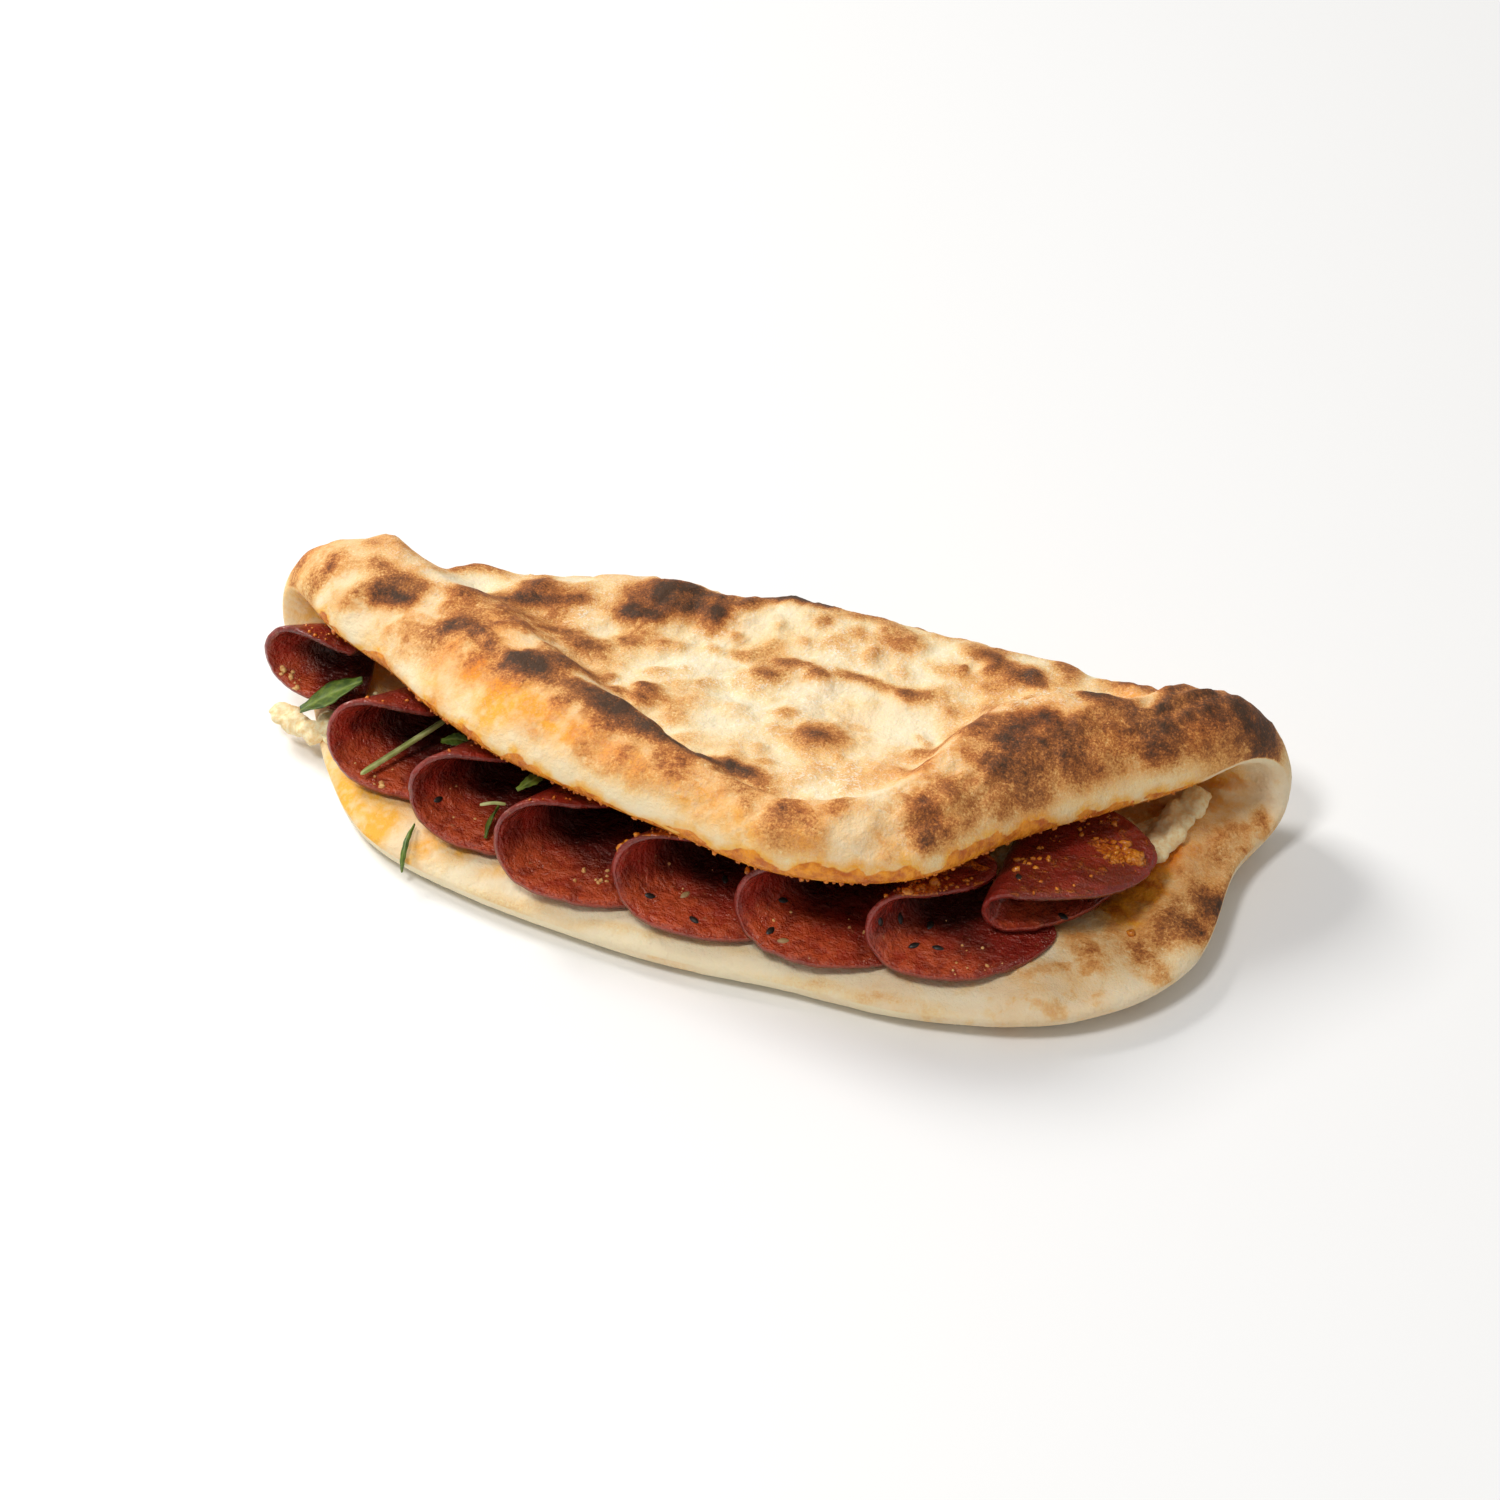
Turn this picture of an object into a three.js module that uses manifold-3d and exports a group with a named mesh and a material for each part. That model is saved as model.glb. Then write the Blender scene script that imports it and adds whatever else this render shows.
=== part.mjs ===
// A pizza dough sandwich: one oval of baked dough folded over along its back edge, with
// folded salami slices, soft cheese and rocket leaves between the two flaps.
//
// Millimetres, +Z up. X runs along the fold, the open side faces -Y, and the sandwich lies
// on the plane z = 0. Flat dough is described by (x, s): s is the distance from the fold,
// positive on the upper flap and negative on the lower one.
import * as THREE from "three";
import { mergeVertices } from "three/addons/utils/BufferGeometryUtils.js";
import Module from "manifold-3d";

const wasm = await Module();
wasm.setup();

const { clamp, smoothstep, degToRad, lerp } = THREE.MathUtils;
const TURN = 2 * Math.PI;

// ---------------------------------------------------------------- driving dimensions
// The oval's radius, and the half height and the width of its puffed rim, every 15 degrees
// from +X over the upper flap (15 to 165) and back under the lower one (195 to 345).
const OVAL_RADII = [
  145, 132.5, 122.5, 122, 131.5, 128.5, 117.5, 112, 111, 111, 115, 130.5,
  145, 133.5, 131, 131.5, 127.5, 125.5, 127.5, 132, 145, 156, 156, 142,
];
const RIM_HEIGHTS = [
  10, 12.5, 16.5, 16, 12.5, 11, 11, 12.5, 14, 14.5, 13, 13.5,
  12.5, 8, 7, 7, 7, 7, 7, 7.2, 8, 9.5, 10, 10.5,
];
const RIM_WIDTHS = [
  15, 21, 28, 26, 20, 14, 15, 19, 23, 25, 26, 24,
  18, 12, 11, 11, 11, 11, 11, 12, 15, 22, 26, 18,
];
const CRUMB_HALF = 4.5; // half the dough's thickness inside the rim
const RIM_FALL = 0.6; // the rim runs out into the thin dough over this share of its width
const RIM_INSIDE = [0.12, 0.45]; // the rim stands out inside by this share: lower and upper flap
const INSIDE_BLEND = [-20, 60]; // the s between which one becomes the other
const FOLD_RADIUS = 17.5; // of the dough's middle surface, round the back edge
const FLAT_SINK = 0.6; // how far the lower flap is pressed flat on what it lies on
const FRONT_LIFT = 6.5; // the filling holds the upper flap's front edge up by this much,
const LIFT_FROM = 15; // from this far in front of the bend
const LIFT_TO = 80; // to this far
const FOLD_BOW = [27.3, 0.07, -0.00107]; // the fold's centre line: y as a parabola in x
const DOUGH_COLUMNS = 90; // round the oval
const CRUST_ROWS = [13, 3, 5]; // in the thin dough, in the rim's fall and in the rim
const INNER_ROWS = [5, 3, 4];

// Blisters of the crust: [x, s, half length, half width, height] on the flat dough.
const BLISTERS = [
  [-31, 23, 16, 10, 2.4],
  [-39, 35, 9, 5, 2],
  [-53, 48, 10, 7, 2.2],
  [-66, 29, 12, 7, 1.6],
  [14, 47, 24, 6, 1.4],
  [14, 65, 6, 6, 1.6],
  [-23, 71, 9, 7, 1.6],
  [1, 14, 12, 11, 1.8],
  [-75, 58, 9, 9, 1.6],
  [-56, 73, 9, 8, 1.6],
  [-30, 89, 12, 7, 1.2],
  [0, 95, 11, 6, 1.4],
  [94, 41, 12, 10, 1.8],
  [86, 64, 10, 10, 1.8],
  [101, 17, 10, 9, 2.4],
];

// Salami: discs folded over a crease, one in the mouth of the next. For each slice: where
// its crease's front end is, how far the crease turns from +Y towards +X there and at its
// back end, and what differs from the common slice.
const SLICE = {
  thickness: 2,
  radius: 40,
  chord: 5, // from the disc's middle to the crease
  loop: 7.4, // radius of the crease
  rest: 12, // height of the lowest point
  lowerTilt: 0.075, // of the lower half, up towards the crease, in radians
  upperTilt: 0.03,
  droop: 0, // how fast the upper half bends down again, in radians a millimetre
  tuck: 0.6, // the part behind the crease's middle is shorter by this factor
  flare: 4, // the crease's radius grows by this much at the mouth
  gape: 0.15, // and the upper half rises by this much there
};
const SLICES = [
  { at: [-141, -9], turn: [32, 95], radius: 25, chord: 4, loop: 6.9, rest: 12.5, tuck: 0.3, gape: 0.2 },
  { at: [-110.5, -37], turn: [28, 40], radius: 33, chord: 9, loop: 7, rest: 11.7, tuck: 0.35, flare: 6.6, gape: 0.2 },
  { at: [-80, -52], turn: [22, 32], radius: 36.5, chord: 10, tuck: 0.5, flare: 6.2, gape: 0.2 },
  { at: [-51, -63], turn: [20, 30], radius: 38, chord: 11, rest: 12, flare: 6.4, gape: 0.2 },
  { at: [-16.5, -64], turn: [24, 24], radius: 37.5, chord: 10.5, rest: 12.1, flare: 6.2, gape: 0.2 },
  { at: [18, -64], turn: [24, 16], radius: 37.5, chord: 10.5, rest: 12.5, flare: 5.2, gape: 0.17 },
  {
    at: [54, -62.5], turn: [18, 8], radius: 33, chord: 9.4, loop: 6.6, rest: 14.4, lowerTilt: 0.045,
    tuck: 0.3, flare: 4.6, gape: 0.14,
  },
  {
    at: [81.7, -47.5], turn: [0, 2], radius: 36.5, chord: -4, loop: 4.5, rest: 17.4, lowerTilt: 0.03,
    upperTilt: 0.02, droop: 0.012, tuck: 0.4, flare: 3, gape: 0,
  },
];

// Black and pale seeds in the slices: [slice, arc length from the crease, depth, side].
const SEED_HALF = [1.7, 1, 0.6]; // half of a seed's length, width and height
const SEEDS = [
  [3, -7.8, -28.1, 1],
  [5, -13, -29.9, 1],
  [5, -27.1, -27.2, 1],
  [5, -21.5, -10.4, 1],
  [5, -18.8, -22.3, 1],
  [6, -14.3, -31.7, 1],
  [6, -19.3, -31.7, 1],
  [6, -8.7, -22.1, 1],
  [7, -1.5, -26.9, 1],
  [7, -5.2, -19.3, 1],
  [7, -13, -14.1, 1],
  [7, -14.3, -22.8, 1],
  [7, -19.7, -19.8, 1],
  [8, -22.1, -23.8, 1],
  [8, 10.4, -27, -1],
];

// Soft cheese spread over the lower flap, out to both ends of the mouth.
const CHEESE = {
  ends: [198, 341], // degrees round the oval, from the left end to the right one
  back: 36, // how far from the fold it begins
  insets: [5, 20, 26, 31], // of its front edge from the dough's edge, from left to right
  thickness: 2,
  edge: 0.3, // thickness at its border
  gap: 0.8, // to the dough
};
// Lumps of cheese at its ends: [x, y, z, half length, half width, half height].
const CHEESE_LUMPS = [
  [-114, -19.5, 11.1, 8, 6.5, 1.3],
  [-122.5, -21.5, 9.4, 4.5, 3, 2.4],
  [-128.5, -19, 8, 4, 3, 2.8],
  [-133.4, -16, 8.2, 4.4, 3.4, 2.2],
  [106, 6, 11.6, 8, 9, 2],
  [112, 6, 14.2, 6, 9, 2.2],
  [116.5, 6, 17, 4.5, 10, 1.9],
  [118.5, 12, 18.3, 4.5, 8, 2.4],
  [122, 20, 19.6, 4, 5, 2.6],
];
const CLEARANCE = [-0.3, -0.3, 0.35]; // from the dough to the lumps

// Rocket leaves and stems, as points along the middle, the width, and the way across.
const LEAF_HALF = 0.35; // half a leaf's thickness
const LEAVES = {
  rocket_leaf_1: {
    path: [[-126, -20.5, 15.2], [-119, -16.5, 19.5], [-110, -13, 24.5]],
    width: 9.5, across: [0.45, -0.8, 0.25], wave: 0.5,
  },
  rocket_leaf_2: {
    path: [[-82, -24, 19.6], [-77.5, -24.5, 22], [-73, -26.5, 24]],
    width: 4, across: [0.3, -0.9, -0.2], wave: 0.3,
  },
  rocket_leaf_3: {
    path: [[-57.4, -54, 17], [-57.8, -49.5, 19], [-57, -45, 21]],
    width: 3.6, across: [0.5, 0, 0.85], wave: 0.2,
  },
  rocket_leaf_4: {
    path: [[-48.5, -51.5, 35], [-45.5, -47, 35.8], [-43.8, -43, 35.8]],
    width: 4.4, across: [0.9, -0.4, 0.1], wave: 0.3,
  },
  rocket_strip: {
    path: [[-79.6, -51, 12.8], [-79.4, -57, 12.4], [-79, -61.6, 9.6], [-79.2, -62.3, 5]],
    width: 1.7, across: [1, 0.1, 0], wave: 0.1,
  },
};
const STEMS = {
  rocket_stem_1: {
    path: [[-98.8, -42.6, 18.2], [-91, -30.5, 20.2], [-82.2, -18.5, 23.4]],
    radius: 0.9,
  },
  rocket_stem_2: {
    path: [[-60.6, -49.6, 24.4], [-57, -48.2, 25], [-53.8, -47.2, 24.6]],
    radius: 0.5,
  },
};

// The middle of the sandwich's outline on the ground, which becomes the origin.
const ORIGIN = [-0.245, -11.165];

// ---------------------------------------------------------------- shared helpers
// A smooth closed curve through values that stand at even angles round the oval.
function roundOval(values, angle) {
  const n = values.length;
  const at = ((((angle / TURN) * n) % n) + n) % n;
  const i = Math.floor(at);
  const t = at - i;
  const [a, b, c, d] = [-1, 0, 1, 2].map((k) => values[(i + k + n) % n]);
  return b + 0.5 * t * (c - a + t * (2 * a - 5 * b + 4 * c - d + t * (3 * (b - c) + d - a)));
}

function indexedGeometry(points, index) {
  const positions = points.flatMap((p) => [p.x, p.y, p.z]);
  const geometry = new THREE.BufferGeometry();
  geometry.setAttribute("position", new THREE.Float32BufferAttribute(positions, 3));
  geometry.setIndex(index);
  return geometry;
}

// The closed skin through rings of points from one pole to the other. The first and the last
// row are single points, and the rows between them have one point for each column.
function ringsGeometry(rows) {
  const starts = [];
  rows.reduce((sum, row) => {
    starts.push(sum);
    return sum + row.length;
  }, 0);
  const index = [];
  for (let r = 0; r + 1 < rows.length; r++) {
    const [upper, lower] = [rows[r].length, rows[r + 1].length];
    const columns = Math.max(upper, lower);
    for (let c = 0; c < columns; c++) {
      const next = (c + 1) % columns;
      const a = starts[r] + (upper > 1 ? c : 0);
      const b = starts[r] + (upper > 1 ? next : 0);
      const d = starts[r + 1] + (lower > 1 ? c : 0);
      const e = starts[r + 1] + (lower > 1 ? next : 0);
      if (upper > 1) index.push(a, b, d);
      if (lower > 1) index.push(b, e, d);
    }
  }
  return indexedGeometry(rows.flat(), index);
}

// The slab between two like grids of points, closed round their border.
function slabGeometry(top, bottom) {
  const [rows, columns] = [top.length, top[0].length];
  const at = (r, c, side) => (side * rows + r) * columns + c;
  const index = [];
  const quad = (a, b, c, d) => index.push(a, b, c, a, c, d);
  for (let r = 0; r + 1 < rows; r++) {
    for (let c = 0; c + 1 < columns; c++) {
      quad(at(r, c, 0), at(r, c + 1, 0), at(r + 1, c + 1, 0), at(r + 1, c, 0));
      quad(at(r, c, 1), at(r + 1, c, 1), at(r + 1, c + 1, 1), at(r, c + 1, 1));
    }
  }
  const border = [];
  for (let c = 0; c < columns - 1; c++) border.push([0, c]);
  for (let r = 0; r < rows - 1; r++) border.push([r, columns - 1]);
  for (let c = columns - 1; c > 0; c--) border.push([rows - 1, c]);
  for (let r = rows - 1; r > 0; r--) border.push([r, 0]);
  border.forEach(([r, c], i) => {
    const [r2, c2] = border[(i + 1) % border.length];
    quad(at(r, c, 0), at(r, c, 1), at(r2, c2, 1), at(r2, c2, 0));
  });
  return mergeVertices(indexedGeometry([...top.flat(), ...bottom.flat()], index), 1e-3);
}

function solidOf(geometry) {
  const plain = geometry.clone();
  plain.deleteAttribute("normal");
  plain.deleteAttribute("uv");
  const merged = mergeVertices(plain, 1e-4);
  return new wasm.Manifold(
    new wasm.Mesh({
      numProp: 3,
      vertProperties: merged.attributes.position.array,
      triVerts: new Uint32Array(merged.index.array),
    }),
  );
}

const union = (base, others) =>
  others.reduce((sum, other) => sum.add(solidOf(other)), solidOf(base));

function toGeometry(solid) {
  const mesh = solid.getMesh();
  const geometry = new THREE.BufferGeometry();
  geometry.setAttribute("position", new THREE.Float32BufferAttribute(mesh.vertProperties, 3));
  geometry.setIndex([...mesh.triVerts]);
  return geometry;
}

// ---------------------------------------------------------------- dough
// Half the dough's thickness at a distance in from its edge: a round rim, then thin dough.
function doughHalf(distance, rimHeight, rimWidth) {
  const t = Math.min(distance / rimWidth, 1);
  if (t < 1) return rimHeight * Math.sqrt(1 - (1 - t) ** 2);
  const fall = smoothstep(distance, rimWidth, rimWidth * (1 + RIM_FALL));
  return lerp(rimHeight, CRUMB_HALF, fall);
}

// Height of the lower flap's middle surface over its lowest part, so that it lies flat.
function lowerRise(x, s) {
  const angle = Math.atan2(s, x);
  const width = roundOval(RIM_WIDTHS, angle);
  const distance = roundOval(OVAL_RADII, angle) - Math.hypot(x, s);
  return doughHalf(Math.max(distance, width), roundOval(RIM_HEIGHTS, angle), width) - CRUMB_HALF;
}

// The folded dough's middle surface at flat (x, s).
function doughMiddle(x, s) {
  const turn = clamp(s / FOLD_RADIUS, -Math.PI / 2, Math.PI / 2);
  const run = Math.max(0, Math.abs(s) - (FOLD_RADIUS * Math.PI) / 2);
  const y = FOLD_BOW[0] + FOLD_BOW[1] * x + FOLD_BOW[2] * x * x;
  let z = CRUMB_HALF - FLAT_SINK + FOLD_RADIUS * (1 + Math.sin(turn));
  if (s < 0) z += lowerRise(x, s) * smoothstep(-turn, 0, Math.PI / 2);
  else z += FRONT_LIFT * smoothstep(run, LIFT_FROM, LIFT_TO);
  return new THREE.Vector3(x, y + FOLD_RADIUS * Math.cos(turn) - run, z);
}

// The direction out of the dough on its crust side.
function crustward(x, s) {
  const alongX = doughMiddle(x + 1, s).sub(doughMiddle(x - 1, s));
  const alongS = doughMiddle(x, s + 1).sub(doughMiddle(x, s - 1));
  return alongS.cross(alongX).normalize();
}

const blisterHeight = (x, s) =>
  BLISTERS.reduce((sum, [bx, bs, length, width, height]) => {
    return sum + height * Math.exp(-(((x - bx) / length) ** 2) - ((s - bs) / width) ** 2);
  }, 0);

// A point of the crust side (side 1) or the inner side (side -1), at an angle round the oval
// and a distance in from its edge.
function doughPoint(angle, distance, side) {
  const reach = roundOval(OVAL_RADII, angle) - distance;
  const [x, s] = [reach * Math.cos(angle), reach * Math.sin(angle)];
  const rim = roundOval(RIM_HEIGHTS, angle);
  const inside = lerp(...RIM_INSIDE, smoothstep(s, ...INSIDE_BLEND));
  const height = side > 0 ? rim : lerp(CRUMB_HALF, rim, inside);
  let half = doughHalf(distance, height, roundOval(RIM_WIDTHS, angle));
  if (side > 0) half += blisterHeight(x, s) * Math.min(1, distance / rim);
  const p = doughMiddle(x, s).addScaledVector(crustward(x, s), side * half);
  p.z = Math.max(p.z, 0);
  return p;
}

function doughGeometry() {
  const angles = Array.from({ length: DOUGH_COLUMNS }, (_, i) => (i / DOUGH_COLUMNS) * TURN);
  // distances in from the edge for one angle, from the pole out to the last row before it
  const spans = (angle, flatRows, fallRows, rimRows) => {
    const [oval, width] = [roundOval(OVAL_RADII, angle), roundOval(RIM_WIDTHS, angle)];
    const thin = width * (1 + RIM_FALL);
    const count = (n, at) => Array.from({ length: n }, (_, i) => at((i + 1) / n));
    return [
      ...count(flatRows, (t) => lerp(oval, thin, t)),
      ...count(fallRows, (t) => lerp(thin, width, t)),
      ...count(rimRows, (t) => width * (1 - Math.cos((Math.PI / 2) * (1 - t)))).slice(0, -1),
    ];
  };
  const sheet = (side, ...counts) => {
    const columnsOut = angles.map((a) => spans(a, ...counts).map((d) => doughPoint(a, d, side)));
    const rows = columnsOut[0].map((_, r) => columnsOut.map((column) => column[r]));
    return [[doughPoint(0, roundOval(OVAL_RADII, 0), side)], ...rows];
  };
  const edge = angles.map((a) => doughPoint(a, 0, 1));
  return ringsGeometry([...sheet(1, ...CRUST_ROWS), edge, ...sheet(-1, ...INNER_ROWS).reverse()]);
}

// ---------------------------------------------------------------- salami
// The folded slice's section, as (out, up) at an arc length from the crease: a straight lower
// half, a round crease, and an upper half that may droop.
const SECTION_STEPS = 24;
const DROOP_START = 4; // past the end of the crease

function creaseSection({ loop, lowerTilt, upperTilt, droop }, length) {
  const bend = Math.PI - lowerTilt - upperTilt;
  const step = length / SECTION_STEPS;
  const middle = Math.PI / 2 + (upperTilt - lowerTilt) / 2;
  const flatStart = (loop * bend) / 2 + DROOP_START;
  let [out, up] = [0, 0];
  for (let i = 0; i < SECTION_STEPS; i++) {
    const at = step * (i + 0.5);
    const heading = middle - clamp(at / loop, -bend / 2, bend / 2);
    const drooped = heading - droop * Math.max(0, at - flatStart);
    out += Math.cos(drooped) * step;
    up += Math.sin(drooped) * step;
  }
  return [out, up];
}

// A point of the slice's inner face (side 1) or outer face (side -1), at an arc length from
// the crease and a depth along it from the middle of the slice.
function slicePoint(spec, length, depth, side) {
  const { radius, chord, thickness, rest, at } = spec;
  const front = Math.sqrt(radius ** 2 - chord ** 2);
  const run = depth + front;
  const turned = (share) => degToRad(lerp(spec.turn[0], spec.turn[1], share));
  const path = turned(run / front / 4);
  const turn = turned(run / front / 2);
  const open = Math.max(0, -depth / front) ** 1.5;
  const section = {
    ...spec,
    loop: spec.loop + spec.flare * open,
    upperTilt: spec.upperTilt + spec.gape * open,
  };
  const low = creaseSection(section, -(radius + chord))[1];
  const [out, up] = creaseSection(section, length);
  const [out2, up2] = creaseSection(section, length + 0.2);
  const normal = new THREE.Vector2(up2 - up, out - out2).setLength((side * thickness) / 2);
  const away = out + normal.x;
  return new THREE.Vector3(
    at[0] + run * Math.sin(path) + away * Math.cos(turn),
    at[1] + run * Math.cos(path) - away * Math.sin(turn),
    rest + thickness / 2 + up - low + normal.y,
  );
}

function sliceGeometry(spec) {
  const rows = 18;
  const columns = 6;
  const face = (side) =>
    Array.from({ length: rows + 1 }, (_, r) => {
      const reach = -spec.radius * Math.cos((Math.PI * r) / rows);
      const half = Math.sqrt(Math.max(0, spec.radius ** 2 - reach ** 2));
      return Array.from({ length: columns + 1 }, (_, c) => {
        const depth = half * lerp(-1, 1, c / columns);
        return slicePoint(spec, reach - spec.chord, depth * (depth > 0 ? spec.tuck : 1), side);
      });
    });
  return slabGeometry(face(1), face(-1));
}

// A seed pressed into a slice's face, turned by a different amount for each.
function seedGeometry(spec, length, depth, side, order) {
  const centre = slicePoint(spec, length, depth, side);
  const up = slicePoint(spec, length, depth, side * 2).sub(centre).normalize();
  const along = slicePoint(spec, length, depth + 0.5, side).sub(centre).normalize();
  const seed = new THREE.SphereGeometry(1, 6, 4).scale(...SEED_HALF).rotateZ(order * 2.4);
  const frame = new THREE.Matrix4().makeBasis(along, up.clone().cross(along), up);
  return seed.applyMatrix4(frame.setPosition(centre));
}

// ---------------------------------------------------------------- cheese
function cheeseGeometry(dough) {
  const { ends, back, insets, thickness, edge, gap } = CHEESE;
  const rows = 24;
  const columns = 6;
  const face = (top) =>
    Array.from({ length: rows + 1 }, (_, r) => {
      const along = r / rows;
      const angle = degToRad(lerp(ends[0], ends[1], along));
      const step = Math.min(Math.floor(along * 3), 2);
      const inset = lerp(insets[step], insets[step + 1], along * 3 - step);
      const outer = roundOval(OVAL_RADII, angle) - inset - 1.5 * Math.sin(23 * along);
      const inner = Math.min(back / Math.abs(Math.sin(angle)), outer - 4);
      return Array.from({ length: columns + 1 }, (_, c) => {
        const across = c / columns;
        const reach = lerp(inner, outer, across);
        const [x, s] = [reach * Math.cos(angle), reach * Math.sin(angle)];
        const swell = Math.sqrt((1 - (2 * along - 1) ** 8) * (1 - (2 * across - 1) ** 4));
        const height = gap + (top ? edge + thickness * swell : 0);
        const p = doughPoint(angle, roundOval(OVAL_RADII, angle) - reach, -1);
        return p.addScaledVector(crustward(x, s), -height);
      });
    });
  const lumps = CHEESE_LUMPS.map(([x, y, z, ...half]) =>
    new THREE.SphereGeometry(1, 10, 7).scale(...half).translate(x, y, z),
  );
  const spread = union(slabGeometry(face(true), face(false)), lumps);
  return toGeometry(spread.subtract(solidOf(dough).translate(CLEARANCE)));
}

// ---------------------------------------------------------------- rocket
const vectors = (points) => points.map((p) => new THREE.Vector3(...p));

// A wavy leaf: its width swells and tapers along the path, and its two faces are alike.
function leafGeometry({ path, width, across, wave }) {
  const rows = 9;
  const columns = 3;
  const curve = new THREE.CatmullRomCurve3(vectors(path));
  const face = (side) =>
    Array.from({ length: rows + 1 }, (_, r) => {
      const share = r / rows;
      const tangent = curve.getTangentAt(share);
      const sideways = new THREE.Vector3(...across).projectOnPlane(tangent).normalize();
      const normal = sideways.clone().cross(tangent);
      const half = (width / 2) * (0.12 + 0.88 * Math.sin(Math.PI * (0.06 + 0.86 * share)));
      return Array.from({ length: columns + 1 }, (_, c) => {
        const v = (2 * c) / columns - 1;
        const lift = wave * (v * v + 0.6 * v * Math.sin(9 * share));
        return curve
          .getPointAt(share)
          .addScaledVector(sideways, half * v)
          .addScaledVector(normal, lift + side * LEAF_HALF);
      });
    });
  return slabGeometry(face(1), face(-1));
}

function stemGeometry({ path, radius }) {
  const section = new THREE.Shape().absarc(0, 0, radius, 0, TURN);
  return new THREE.ExtrudeGeometry(section, {
    extrudePath: new THREE.CatmullRomCurve3(vectors(path)),
    steps: 7,
    curveSegments: 3,
    bevelEnabled: false,
  });
}

// ---------------------------------------------------------------- the sandwich
const finish = (color, roughness) =>
  new THREE.MeshStandardMaterial({ color, roughness, metalness: 0 });

const sandwich = new THREE.Group();
sandwich.position.set(-ORIGIN[0], -ORIGIN[1], 0);

function add(name, geometry, material) {
  const mesh = new THREE.Mesh(geometry, material);
  mesh.name = name;
  sandwich.add(mesh);
}

const dough = doughGeometry();
add("dough", dough, finish(0xe6c891, 0.9));
add("cheese", cheeseGeometry(dough), finish(0xf0e6c8, 0.6));
SLICES.forEach((own, i) => {
  const spec = { ...SLICE, ...own };
  const seeds = SEEDS.flatMap(([slice, length, depth, side], order) =>
    slice === i + 1 ? [seedGeometry(spec, length, depth, side, order)] : [],
  );
  add(`salami_${i + 1}`, toGeometry(union(sliceGeometry(spec), seeds)), finish(0x701a14, 0.35));
});
Object.entries(LEAVES).forEach(([name, leaf]) => {
  add(name, leafGeometry(leaf), finish(0x3f6b26, 0.5));
});
Object.entries(STEMS).forEach(([name, stem]) => {
  add(name, stemGeometry(stem), finish(0x8aa556, 0.5));
});

export default sandwich;
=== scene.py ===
"""A pizza dough sandwich, dressed over its solids.

An oval of baked dough is folded over a row of folded salami slices, with soft cheese and
rocket leaves. The shapes are worked out in millimetres, with x along the fold and the open
side facing -y; placed() moves them to the object's own frame, in metres. Flat dough is
described by (x, s), where s is the distance from the fold, positive on the upper flap.
"""

import math
from types import SimpleNamespace

import bpy
import numpy as np
from bpy.props import FloatProperty, FloatVectorProperty, IntProperty, PointerProperty
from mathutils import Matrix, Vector


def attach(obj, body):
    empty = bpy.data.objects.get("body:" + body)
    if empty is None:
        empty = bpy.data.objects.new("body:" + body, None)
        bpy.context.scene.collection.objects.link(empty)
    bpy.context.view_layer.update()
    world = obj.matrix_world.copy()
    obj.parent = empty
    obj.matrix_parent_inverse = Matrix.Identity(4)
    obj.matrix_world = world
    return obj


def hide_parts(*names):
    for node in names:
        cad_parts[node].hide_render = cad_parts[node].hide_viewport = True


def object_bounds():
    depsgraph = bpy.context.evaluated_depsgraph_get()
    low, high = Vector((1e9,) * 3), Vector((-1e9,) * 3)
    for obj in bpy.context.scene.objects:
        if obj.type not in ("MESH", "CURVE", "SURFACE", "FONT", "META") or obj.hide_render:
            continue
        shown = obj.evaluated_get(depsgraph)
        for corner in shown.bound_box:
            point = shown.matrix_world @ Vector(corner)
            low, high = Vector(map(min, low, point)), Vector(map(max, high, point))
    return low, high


bl_info = {
    "name": "Pizza dough sandwich",
    "version": (1, 0, 0),
    "blender": (4, 5, 0),
    "location": "3D View > Sidebar > Sandwich",
    "description": "Dresses a folded pizza dough sandwich with salami, cheese and rocket",
    "category": "Object",
}

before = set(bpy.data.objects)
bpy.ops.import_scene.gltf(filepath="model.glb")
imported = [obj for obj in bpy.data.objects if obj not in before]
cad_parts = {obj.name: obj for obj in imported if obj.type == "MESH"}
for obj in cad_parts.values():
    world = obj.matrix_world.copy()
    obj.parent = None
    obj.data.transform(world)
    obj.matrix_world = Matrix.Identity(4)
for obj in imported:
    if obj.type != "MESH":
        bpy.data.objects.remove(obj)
CAD_BOX = [list(corner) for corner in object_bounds()]
BODY = "root"
MM = 0.001
TURN = 2 * math.pi
# Over how many millimetres a point is held back as it nears the CAD box.
EASE = 0.35

# ------------------------------------------------------------------ sizes shared with the solids
# The oval's radius, and the half height and width of its puffed rim, every 15 degrees.
OVAL_RADII = np.array([
    145, 132.5, 122.5, 122, 131.5, 128.5, 117.5, 112, 111, 111, 115, 130.5,
    145, 133.5, 131, 131.5, 127.5, 125.5, 127.5, 132, 145, 156, 156, 142,
])
RIM_HEIGHTS = np.array([
    10, 12.5, 16.5, 16, 12.5, 11, 11, 12.5, 14, 14.5, 13, 13.5,
    12.5, 8, 7, 7, 7, 7, 7, 7.2, 8, 9.5, 10, 10.5,
])
RIM_WIDTHS = np.array([
    15, 21, 28, 26, 20, 14, 15, 19, 23, 25, 26, 24,
    18, 12, 11, 11, 11, 11, 11, 12, 15, 22, 26, 18,
])
# Half the flat dough's thickness, and the way that the rim takes to fall to it, in rim widths.
CRUMB_HALF = 4.5
RIM_FALL = 0.6
# How much of the rim's height shows on the inner face, below the first s and above the second.
RIM_INSIDE = (0.12, 0.45)
INSIDE_BLEND = (-20, 60)
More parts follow.
